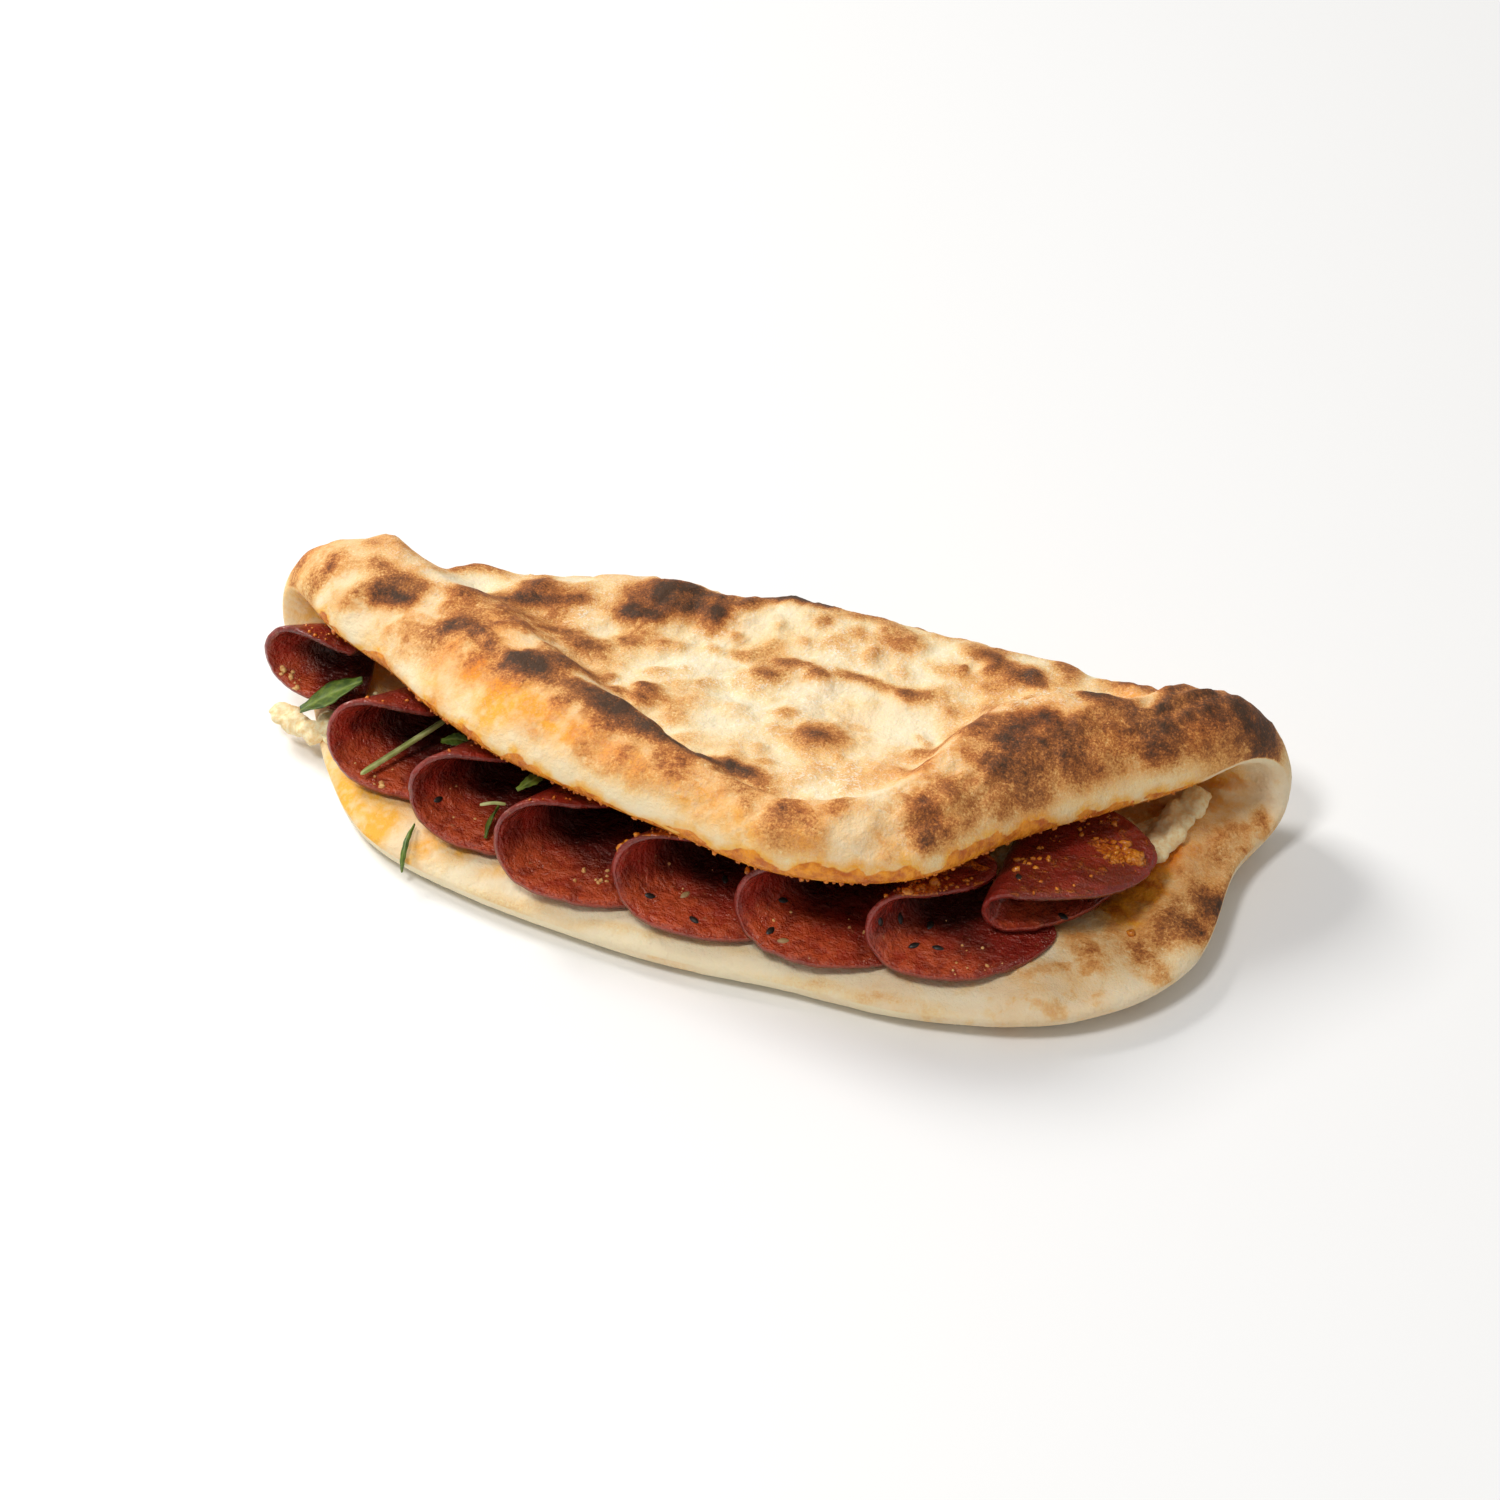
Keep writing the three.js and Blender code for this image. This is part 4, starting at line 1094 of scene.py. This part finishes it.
class Sheet:
    """A material's node tree, filled in by short calls. Lengths are in millimetres."""

    def __init__(self, name):
        self.material = bpy.data.materials.new(name)
        self.material.use_nodes = True
        self.tree = self.material.node_tree
        self.tree.nodes.clear()
        self.output = self.tree.nodes.new("ShaderNodeOutputMaterial")
        object_place = self.node("ShaderNodeTexCoord", {}, out="Object")
        inputs = {0: object_place, "Scale": 1 / MM}
        self.place = self.node("ShaderNodeVectorMath", inputs, operation="SCALE")

    def node(self, kind, inputs, out=0, stops=None, **settings):
        """Adds a node: its settings first, then the values or links of its sockets."""
        made = self.tree.nodes.new(kind)
        for key, value in settings.items():
            setattr(made, key, value)
        if stops:
            ramp = made.color_ramp
            while len(ramp.elements) < len(stops):
                ramp.elements.new(0.5)
            for element, (position, color) in zip(ramp.elements, stops):
                element.position = position
                element.color = (*color, 1)
        for key, value in inputs.items():
            socket = made.inputs[key]
            if isinstance(value, Value):
                self.tree.links.new(value.socket, socket)
            else:
                socket.default_value = value
        return Value(self, made.outputs[out])

    def noise(self, size, detail, rough, distortion=0.0):
        """Noise from 0 to 1 whose lumps are about size millimetres across."""
        inputs = {
            "Vector": self.place, "Scale": 1 / size, "Detail": detail, "Roughness": rough,
            "Distortion": distortion,
        }
        return self.node("ShaderNodeTexNoise", inputs)

    def cells(self, size):
        """Distance to the nearest of points about size millimetres apart."""
        inputs = {"Vector": self.place, "Scale": 1 / size, "Randomness": 1.0}
        return self.node("ShaderNodeTexVoronoi", inputs, feature="F1")

    def masks(self, *names):
        """The piece's masks of these names."""
        return [
            self.node("ShaderNodeAttribute", {}, out="Fac", attribute_name=name) for name in names
        ]

    def ramp(self, value, stops):
        return self.node("ShaderNodeValToRGB", {0: value}, stops=stops)

    def mix(self, share, a, b, blend="MIX"):
        """Colour a where share is 0 and b where it is 1."""
        made = self.tree.nodes.new("ShaderNodeMix")
        made.data_type = "RGBA"
        made.blend_type = blend
        made.clamp_factor = True
        # The colour sockets come after those for numbers and vectors.
        for index, value in ((0, share), (6, a), (7, b)):
            if isinstance(value, Value):
                self.tree.links.new(value.socket, made.inputs[index])
            else:
                made.inputs[index].default_value = (*value, 1) if index else value
        return Value(self, made.outputs[2])

    def bump(self, height, distance, strength):
        """A normal from a height, where 1 stands for distance millimetres."""
        inputs = {"Height": height, "Distance": distance * MM, "Strength": strength}
        return self.node("ShaderNodeBump", inputs)

    def finish(self, scatter=None, **inputs):
        """The surface: a Principled shader with these sockets. Scatter is how much light spreads
        inside it, and how far its red, green and blue reach, in metres."""
        if scatter:
            weight, reach = scatter
            inputs.update(Subsurface_Weight=weight, Subsurface_Radius=reach, Subsurface_Scale=0.5)
        sockets = {key.replace("_", " "): value for key, value in inputs.items()}
        shader = self.node("ShaderNodeBsdfPrincipled", sockets)
        self.tree.links.new(shader.socket, self.output.inputs["Surface"])
        return self.material


def dough_material(settings):
    """Baked dough: ivory to cream, golden oily stains, brown to black scorch that breaks up in
    grains, white flour where it isn't scorched, and wet orange sauce."""
    m = Sheet("baked dough")
    scorch, gold, flour, sauce, pale = m.masks("scorch", "gold", "flour", "sauce", "pale")
    scratch = m.noise(0.55, 2, 0.75)
    grain = m.noise(0.8, 3, 0.7)
    fine = m.noise(1.9, 4, 0.62)
    streaks = m.noise(3.2, 3, 0.6).step(0.3, 0.62)
    medium = m.noise(4.5, 3, 0.55)
    patches = m.noise(6, 4, 0.6).step(0.47, 0.66)
    broad = m.noise(17, 2, 0.5)
    warm = broad.step(0.3, 0.6)

    base = m.mix(broad.step(0.38, 0.66), settings.cream, settings.straw)
    base = m.mix((pale * 0.85).clamp(), base, settings.ivory)

    # How brown it is, from 0 to 1, broken up by grain that grows with the heat.
    speckle = grain.step(0.46, 0.58) * fine.step(0.42, 0.56) * flour
    golden = patches * warm * 0.22 * (1 - pale)
    heat = (scorch * 1.9 + 0.1 + 0.12 * (1 - pale) * broad.step(0.35, 0.6)).clamp()
    toast = scorch * (0.82 + 0.4 * medium) + golden
    toast = toast + ((fine - 0.5) * 0.8 + (grain - 0.5) + (scratch - 0.5) * 0.7) * heat
    toast = (toast * (1 - 0.5 * speckle)).clamp()
    browned = m.ramp(toast, [
        (0.0, (1, 1, 1)), (0.1, (0.99, 0.89, 0.71)), (0.3, (0.86, 0.56, 0.27)),
        (0.52, (0.55, 0.25, 0.095)), (0.76, (0.24, 0.1, 0.045)), (1.0, (0.08, 0.048, 0.034)),
    ])
    color = m.mix(1.0, base, browned, blend="MULTIPLY")

    oiled = m.mix(1.0, color, settings.gold, blend="MULTIPLY")
    oil = (gold * (0.7 + 0.7 * streaks) * (1 - 0.55 * toast.step(0.15, 0.5))).clamp()
    color = m.mix(oil, color, oiled)
    dusted = (speckle * (1 - toast.step(0.1, 0.5)) * 0.8).clamp()
    color = m.mix(dusted, color, settings.flour)
    wet = (sauce * 1.6 - 0.3 + (fine - 0.5) * 0.8 + (medium - 0.5) * 0.9).step(0.2, 0.75)
    thin = (medium * 0.6 + fine * 0.4).step(0.36, 0.64)
    color = m.mix(wet * 0.94, color, m.mix(thin, settings.sauce, settings.sauce_light))

    rough = (0.8 - 0.12 * toast - 0.45 * wet - 0.12 * gold + (fine - 0.5) * 0.2).clamp()
    normal = m.bump(medium * 0.6 + fine * 0.35 + grain * 0.22, 1.3, 0.9)
    scatter = (0.1, (0.006, 0.003, 0.0015))
    return m.finish(
        scatter, Base_Color=color, Roughness=rough, Normal=normal, Specular_IOR_Level=0.3,
    )


def salami_material(settings):
    """Salami: burgundy meat, with painted shade that darkens it inside the fold and painted light,
    orange-red, on the front of the lower half, with a paler grain, fat flecks, a duller outer face
    and rim, smears of paste and a wet crinkled skin."""
    m = Sheet("salami")
    rim, paste, outside, deep, lip = m.masks("rim", "paste", "outside", "deep", "lip")
    grain = m.noise(0.75, 3, 0.6)
    fine = m.noise(1.9, 3, 0.6)
    crinkle = m.noise(3.1, 4, 0.62, distortion=0.25)
    medium = m.noise(4.2, 3, 0.6)
    broad = m.noise(9, 2, 0.5)

    meat = m.mix(broad.step(0.38, 0.62), settings.meat_dark, settings.meat)
    # Painted light: the front of the lower half takes a lighter orange-red tone.
    lit = (lip * (0.35 + 0.9 * medium.step(0.35, 0.65))).clamp()
    meat = m.mix(lit, meat, settings.oily)
    meat = m.mix(grain.step(0.5, 0.75) * 0.45, meat, settings.meat_light)
    flecks = m.cells(3.1).step(0.26, 0.12) * fine.step(0.52, 0.62)
    meat = m.mix(flecks * 0.55, meat, settings.fat)
    dull = m.mix(fine.step(0.4, 0.6), settings.meat_dark, settings.casing)
    meat = m.mix(outside * 0.5, meat, dull)
    # Painted shade inside the fold.
    meat = m.mix((deep * 0.9).clamp(), meat, settings.deep)
    meat = m.mix(rim * (0.2 + 0.6 * grain.step(0.4, 0.7)), meat, settings.rim)

    film = (paste * 1.2 + (medium - 0.5) * 0.9).step(0.3, 0.9)
    meat = m.mix(film * 0.55, meat, settings.paste_dark)
    smear = (paste * 1.35 + (fine - 0.5) * 1.2 + (medium - 0.5) * 0.9).step(0.62, 0.86)
    paste_tone = m.mix(grain.step(0.4, 0.62), settings.paste_dark, settings.paste_color)
    color = m.mix(smear * 0.95, meat, paste_tone)

    rough = (0.1 + 0.22 * medium + 0.12 * outside).clamp()
    normal = m.bump(crinkle * 0.8 + grain * 0.12 + medium * 0.4 + smear * 0.3, 2.2, 1.0)
    scatter = (0.05, (0.004, 0.001, 0.0006))
    return m.finish(
        scatter, Base_Color=color, Roughness=rough, Normal=normal, Specular_IOR_Level=0.6,
        Specular_Tint=(1.0, 0.82, 0.7, 1.0), Coat_Weight=0.45, Coat_Roughness=0.1,
    )


def seed_material(name, dark, light, roughness):
    """A seed's skin: two shades and fine pits."""
    m = Sheet(name)
    grain = m.noise(0.5, 2, 0.6)
    color, normal = m.mix(grain, dark, light), m.bump(grain, 0.15, 0.6)
    return m.finish(Base_Color=color, Roughness=roughness, Normal=normal)


def cheese_material(settings):
    """Soft cheese: off-white, a little yellow in its hollows, stained orange in places."""
    m = Sheet("soft cheese")
    fine = m.noise(1.2, 3, 0.6)
    broad = m.noise(7, 2, 0.5)
    color = m.mix(fine.step(0.3, 0.7), settings.hollow, settings.curd)
    color = m.mix(broad.step(0.56, 0.74) * 0.5, color, settings.stain)
    rough, normal = (0.42 + 0.25 * fine).clamp(), m.bump(fine, 0.5, 0.6)
    scatter = (0.25, (0.004, 0.003, 0.002))
    return m.finish(scatter, Base_Color=color, Roughness=rough, Normal=normal)


def leaf_material(settings):
    """Rocket leaf: two greens, paler veins and a satin skin."""
    m = Sheet("rocket leaf")
    vein = m.masks("vein")[0].clamp()
    tone = m.noise(3, 3, 0.55)
    color = m.mix(tone.step(0.3, 0.7), settings.leaf_dark, settings.leaf)
    color = m.mix(vein * 0.6, color, settings.vein)
    rough, normal = (0.36 + 0.25 * tone).clamp(), m.bump(tone * 0.5 - vein * 0.5, 0.25, 0.6)
    scatter = (0.1, (0.001, 0.003, 0.0005))
    return m.finish(scatter, Base_Color=color, Roughness=rough, Normal=normal)


def stem_material(settings):
    """Rocket stem: pale green with lengthways ribs."""
    m = Sheet("rocket stem")
    rib = m.masks("vein")[0].clamp()
    tone = m.noise(4, 2, 0.5)
    color = m.mix(tone.step(0.35, 0.7), settings.stem, settings.stem_light)
    color = m.mix(rib * 0.45, color, settings.stem_light)
    rough, normal = (0.3 + 0.2 * tone).clamp(), m.bump(rib, 0.2, 0.5)
    return m.finish(Base_Color=color, Roughness=rough, Normal=normal)


def bits_material(name, dark, light, roughness):
    """Crumbs and paste: two shades with fine grain."""
    m = Sheet(name)
    grain = m.noise(0.9, 3, 0.6)
    color, normal = m.mix(grain.step(0.35, 0.65), dark, light), m.bump(grain, 0.3, 0.6)
    return m.finish(Base_Color=color, Roughness=roughness, Normal=normal)


def plain_floor_material(color):
    """The floor's colour, a hair darker in broad patches."""
    m = Sheet("plain floor")
    darker = tuple(0.985 * c for c in color)
    return m.finish(Base_Color=m.mix(m.noise(400, 2, 0.5), darker, color), Roughness=0.6)


# ------------------------------------------------------------------ settings
def shade(name, description, default):
    return FloatVectorProperty(
        name=name, description=description, subtype="COLOR", size=3, min=0, max=1, default=default
    )


class DoughSettings(bpy.types.PropertyGroup):
    columns: IntProperty(name="Columns", description="Points round the oval", default=470, min=90)
    cream: shade("Cream", "Thin dough, pale places", (0.9, 0.74, 0.5))
    straw: shade("Straw", "Thin dough, warmer places", (0.86, 0.62, 0.35))
    ivory: shade("Ivory", "Unbaked lower edge", (0.93, 0.81, 0.55))
    gold: shade("Gold", "How oil tints the dough", (1.0, 0.6, 0.1))
    flour: shade("Flour", "Dry flour", (0.96, 0.89, 0.75))
    sauce: shade("Sauce", "Sauce, thick", (0.52, 0.1, 0.004))
    sauce_light: shade("Sauce, thin", "Sauce, thin and oily", (0.92, 0.33, 0.014))


class SalamiSettings(bpy.types.PropertyGroup):
    rows: IntProperty(name="Rows", description="Points along a slice", default=110, min=18)
    columns: IntProperty(name="Columns", description="Points across a slice", default=50, min=6)
    meat: shade("Meat", "Salami, lit", (0.4, 0.026, 0.014))
    meat_dark: shade("Dark meat", "Salami, dark", (0.17, 0.009, 0.006))
    meat_light: shade("Light meat", "Salami, grain", (0.44, 0.085, 0.03))
    # Painted light: the colour of the lit front of the lower half.
    oily: shade("Oily meat", "Salami lit through its oil at the front", (0.6, 0.088, 0.026))
    # Painted shade: the colour that darkens the inside of the fold.
    deep: shade("Deep meat", "Salami, soaked in oil inside the fold", (0.035, 0.004, 0.003))
    fat: shade("Fat", "Fat flecks", (0.58, 0.22, 0.1))
    casing: shade("Casing", "The outer face's dull tone", (0.2, 0.018, 0.009))
    rim: shade("Rim", "The cut rim", (0.26, 0.017, 0.01))
    paste_color: shade("Paste", "Orange paste", (0.72, 0.2, 0.012))
    paste_dark: shade("Dark paste", "Orange paste in its hollows", (0.36, 0.05, 0.006))
    paste: FloatVectorProperty(
        name="Paste cover", description="How much paste lies on each slice", size=8, min=0, max=1,
        default=(0.35, 0.25, 0.3, 0.45, 0.7, 0.65, 0.85, 0.55),
    )
    edge_bits: IntProperty(name="Edge bits", description="Bits a stretch of edge", default=14)
    slice_bits: IntProperty(name="Slice bits", description="Bits on a slice", default=16)


class CheeseSettings(bpy.types.PropertyGroup):
    grain: FloatProperty(
        name="Grain", description="Size of its faces, in millimetres", default=0.7, min=0.3
    )
    curd: shade("Curd", "Cheese", (0.96, 0.85, 0.55))
    hollow: shade("Hollow", "Cheese in its hollows", (0.88, 0.62, 0.27))
    stain: shade("Stain", "Oil taken up by the cheese", (0.8, 0.5, 0.18))


class RocketSettings(bpy.types.PropertyGroup):
    leaf: shade("Leaf", "Leaf, lit", (0.13, 0.2, 0.014))
    leaf_dark: shade("Dark leaf", "Leaf, deep", (0.03, 0.075, 0.007))
    vein: shade("Vein", "Leaf veins", (0.25, 0.34, 0.07))
    stem: shade("Stem", "Stem", (0.3, 0.36, 0.08))
    stem_light: shade("Light stem", "Stem ribs", (0.6, 0.62, 0.26))


class StageSettings(bpy.types.PropertyGroup):
    floor: shade("Floor", "The plain floor", (0.93, 0.93, 0.925))
    world: FloatProperty(
        name="World light", description="Strength of the light all round", default=0.33
    )
    key: FloatProperty(
        name="Key light", description="Power of the large light", default=38, unit="POWER"
    )
    fill: FloatProperty(
        name="Fill light", description="Power of the front light", default=8.5, unit="POWER"
    )
    azimuth: FloatProperty(
        name="Azimuth", description="Camera, from the front", default=math.radians(19),
        subtype="ANGLE",
    )
    elevation: FloatProperty(
        name="Elevation", description="Camera, above the floor", default=math.radians(42),
        subtype="ANGLE",
    )
    distance: FloatProperty(
        name="Distance", description="Camera to the object", default=1.3812, unit="LENGTH"
    )
    lens: FloatProperty(name="Lens", description="Focal length in millimetres", default=120.0)


# ------------------------------------------------------------------ operators
class SANDWICH_OT_dough(bpy.types.Operator):
    """Make the baked dough"""

    bl_idname = "sandwich.dough"
    bl_label = "Dough"

    def execute(self, context):
        settings = context.scene.sandwich_dough
        finished(build_dough(settings), dough_material(settings), ["dough"])
        return {"FINISHED"}


class SANDWICH_OT_salami(bpy.types.Operator):
    """Make the folded salami slices and the seeds in them"""

    bl_idname = "sandwich.salami"
    bl_label = "Salami"

    def execute(self, context):
        settings = context.scene.sandwich_salami
        material = salami_material(settings)
        for number in range(1, len(SLICES) + 1):
            piece = build_slice(number, full_spec(number), settings)
            finished(piece, material, [f"salami_{number}"])
        black = seed_material("black seed", (0.006, 0.005, 0.004), (0.03, 0.022, 0.016), 0.35)
        pale = seed_material("pale seed", (0.3, 0.17, 0.06), (0.55, 0.36, 0.16), 0.45)
        finished(build_seeds("black_seeds", 0), black)
        finished(build_seeds("pale_seeds", 1), pale)
        return {"FINISHED"}


class SANDWICH_OT_cheese(bpy.types.Operator):
    """Make the soft cheese"""

    bl_idname = "sandwich.cheese"
    bl_label = "Cheese"

    def execute(self, context):
        settings = context.scene.sandwich_cheese
        finished(build_cheese(settings), cheese_material(settings), ["cheese"])
        return {"FINISHED"}


class SANDWICH_OT_rocket(bpy.types.Operator):
    """Make the rocket leaves and stems"""

    bl_idname = "sandwich.rocket"
    bl_label = "Rocket"

    def execute(self, context):
        settings = context.scene.sandwich_rocket
        blade, rib = leaf_material(settings), stem_material(settings)
        for name, leaf in LEAVES.items():
            finished(build_leaf(name, leaf), blade, [name])
        for name, stem in STEMS.items():
            finished(build_stem(name, stem), rib, [name])
        return {"FINISHED"}


class SANDWICH_OT_paste(bpy.types.Operator):
    """Strew the bits of orange paste and the crumbs"""

    bl_idname = "sandwich.paste"
    bl_label = "Paste and crumbs"

    def execute(self, context):
        settings = context.scene.sandwich_salami
        rng = np.random.default_rng(17)
        orange = bits_material("orange paste", (0.5, 0.1, 0.006), (0.85, 0.28, 0.02), 0.35)
        bright = bits_material("bright paste", (0.5, 0.12, 0.008), (0.82, 0.3, 0.025), 0.25)
        pale = bits_material("pale bits", (0.7, 0.28, 0.07), (0.93, 0.58, 0.22), 0.35)
        crumb = bits_material("cheese crumbs", (0.74, 0.6, 0.42), (0.88, 0.8, 0.66), 0.45)
        paste = paste_places(rng, settings)
        finished(build_bits("paste_bits", *paste, 3), orange)
        finished(build_bits("bright_bits", *clustered(rng, OUTER_BITS, -1), 5), bright)
        finished(build_bits("pale_bits", *clustered(rng, INNER_BITS, 1), 4), pale)
        drops, crumbs = np.array(ORANGE_DROPS), np.array(CHEESE_CRUMBS)
        finished(build_bits("orange_drops", drops[:, :3], drops[:, 3], 6), bright)
        finished(build_bits("cheese_crumbs", crumbs[:, :3], crumbs[:, 3], 6), crumb)
        return {"FINISHED"}


# The stage's sizes: half the floor in millimetres, the point looked at in the design frame, each
# light's size and its place from that point in metres, and the camera's sensor in millimetres.
FLOOR_HALF = 4000
AIM = np.array([0, 0, 20])
KEY_SIZE, KEY_PLACE, KEY_COLOR = 0.85, (-1.6, 0.66, 1.6), (1.0, 0.985, 0.965)
FILL_SIZE, FILL_PLACE, FILL_COLOR = 0.3, (-0.25, -0.6, 1.3), (1.0, 0.99, 0.98)
SENSOR_WIDTH = 36


class SANDWICH_OT_stage(bpy.types.Operator):
    """Make the floor, the lights and the camera"""

    bl_idname = "sandwich.stage"
    bl_label = "Stage"

    def execute(self, context):
        settings = context.scene.sandwich_stage
        scene = context.scene
        corners = FLOOR_HALF * MM * np.array([(-1, -1, 0), (1, -1, 0), (1, 1, 0), (-1, 1, 0)])
        mesh = bpy.data.meshes.new("floor")
        mesh.from_pydata(corners.tolist(), [], [(0, 1, 2, 3)])
        floor = bpy.data.objects.new("floor", mesh)
        scene.collection.objects.link(floor)
        mesh.materials.append(plain_floor_material(settings.floor))
        aim = Vector(tuple((AIM - ORIGIN) * MM))
        self.light(scene, "key", settings.key, KEY_SIZE, KEY_PLACE, aim, KEY_COLOR)
        self.light(scene, "fill", settings.fill, FILL_SIZE, FILL_PLACE, aim, FILL_COLOR)
        world = bpy.data.worlds.new("soft light")
        world.use_nodes = True
        background = world.node_tree.nodes["Background"]
        background.inputs["Color"].default_value = (1, 1, 1, 1)
        background.inputs["Strength"].default_value = settings.world
        scene.world = world
        camera = bpy.data.objects.new("camera", bpy.data.cameras.new("camera"))
        scene.collection.objects.link(camera)
        azimuth, elevation = settings.azimuth, settings.elevation
        level = math.cos(elevation)
        back = Vector((
            math.sin(azimuth) * level, -math.cos(azimuth) * level, math.sin(elevation),
        ))
        camera.data.lens = settings.lens
        camera.data.sensor_width = SENSOR_WIDTH
        camera.data.dof.use_dof = False
        camera.location = aim + back * settings.distance
        camera.rotation_euler = back.to_track_quat("Z", "Y").to_euler()
        scene.camera = camera
        scene.view_settings.view_transform = "Standard"
        return {"FINISHED"}

    def light(self, scene, name, power, size, place, aim, color):
        """Adds a square light at a place from the aim, pointed at it."""
        lamp = bpy.data.lights.new(name, "AREA")
        lamp.energy, lamp.size, lamp.color = power, size, color
        obj = bpy.data.objects.new(name, lamp)
        scene.collection.objects.link(obj)
        obj.location = aim + Vector(place)
        obj.rotation_euler = Vector(place).to_track_quat("Z", "Y").to_euler()


class SANDWICH_PT_pieces(bpy.types.Panel):
    """The sandwich's pieces and sizes"""

    bl_label = "Sandwich"
    bl_space_type = "VIEW_3D"
    bl_region_type = "UI"
    bl_category = "Sandwich"

    def draw(self, context):
        for operator, group in PIECES:
            box = self.layout.box()
            box.operator(operator.bl_idname)
            if group:
                settings = getattr(context.scene, group)
                for key in settings.__annotations__:
                    box.prop(settings, key)


GROUPS = {
    "sandwich_dough": DoughSettings,
    "sandwich_salami": SalamiSettings,
    "sandwich_cheese": CheeseSettings,
    "sandwich_rocket": RocketSettings,
    "sandwich_stage": StageSettings,
}
PIECES = [
    (SANDWICH_OT_dough, "sandwich_dough"),
    (SANDWICH_OT_salami, "sandwich_salami"),
    (SANDWICH_OT_cheese, "sandwich_cheese"),
    (SANDWICH_OT_rocket, "sandwich_rocket"),
    (SANDWICH_OT_paste, None),
    (SANDWICH_OT_stage, "sandwich_stage"),
]


def register():
    for group in GROUPS.values():
        bpy.utils.register_class(group)
    for operator, _ in PIECES:
        bpy.utils.register_class(operator)
    bpy.utils.register_class(SANDWICH_PT_pieces)
    for name, group in GROUPS.items():
        setattr(bpy.types.Scene, name, PointerProperty(type=group))


def unregister():
    for name in GROUPS:
        delattr(bpy.types.Scene, name)
    bpy.utils.unregister_class(SANDWICH_PT_pieces)
    for operator, _ in PIECES:
        bpy.utils.unregister_class(operator)
    for group in GROUPS.values():
        bpy.utils.unregister_class(group)


def main():
    register()
    bpy.ops.sandwich.dough()
    bpy.ops.sandwich.salami()
    bpy.ops.sandwich.cheese()
    bpy.ops.sandwich.rocket()
    bpy.ops.sandwich.paste()
    bpy.ops.sandwich.stage()


if __name__ == "__main__":
    main()
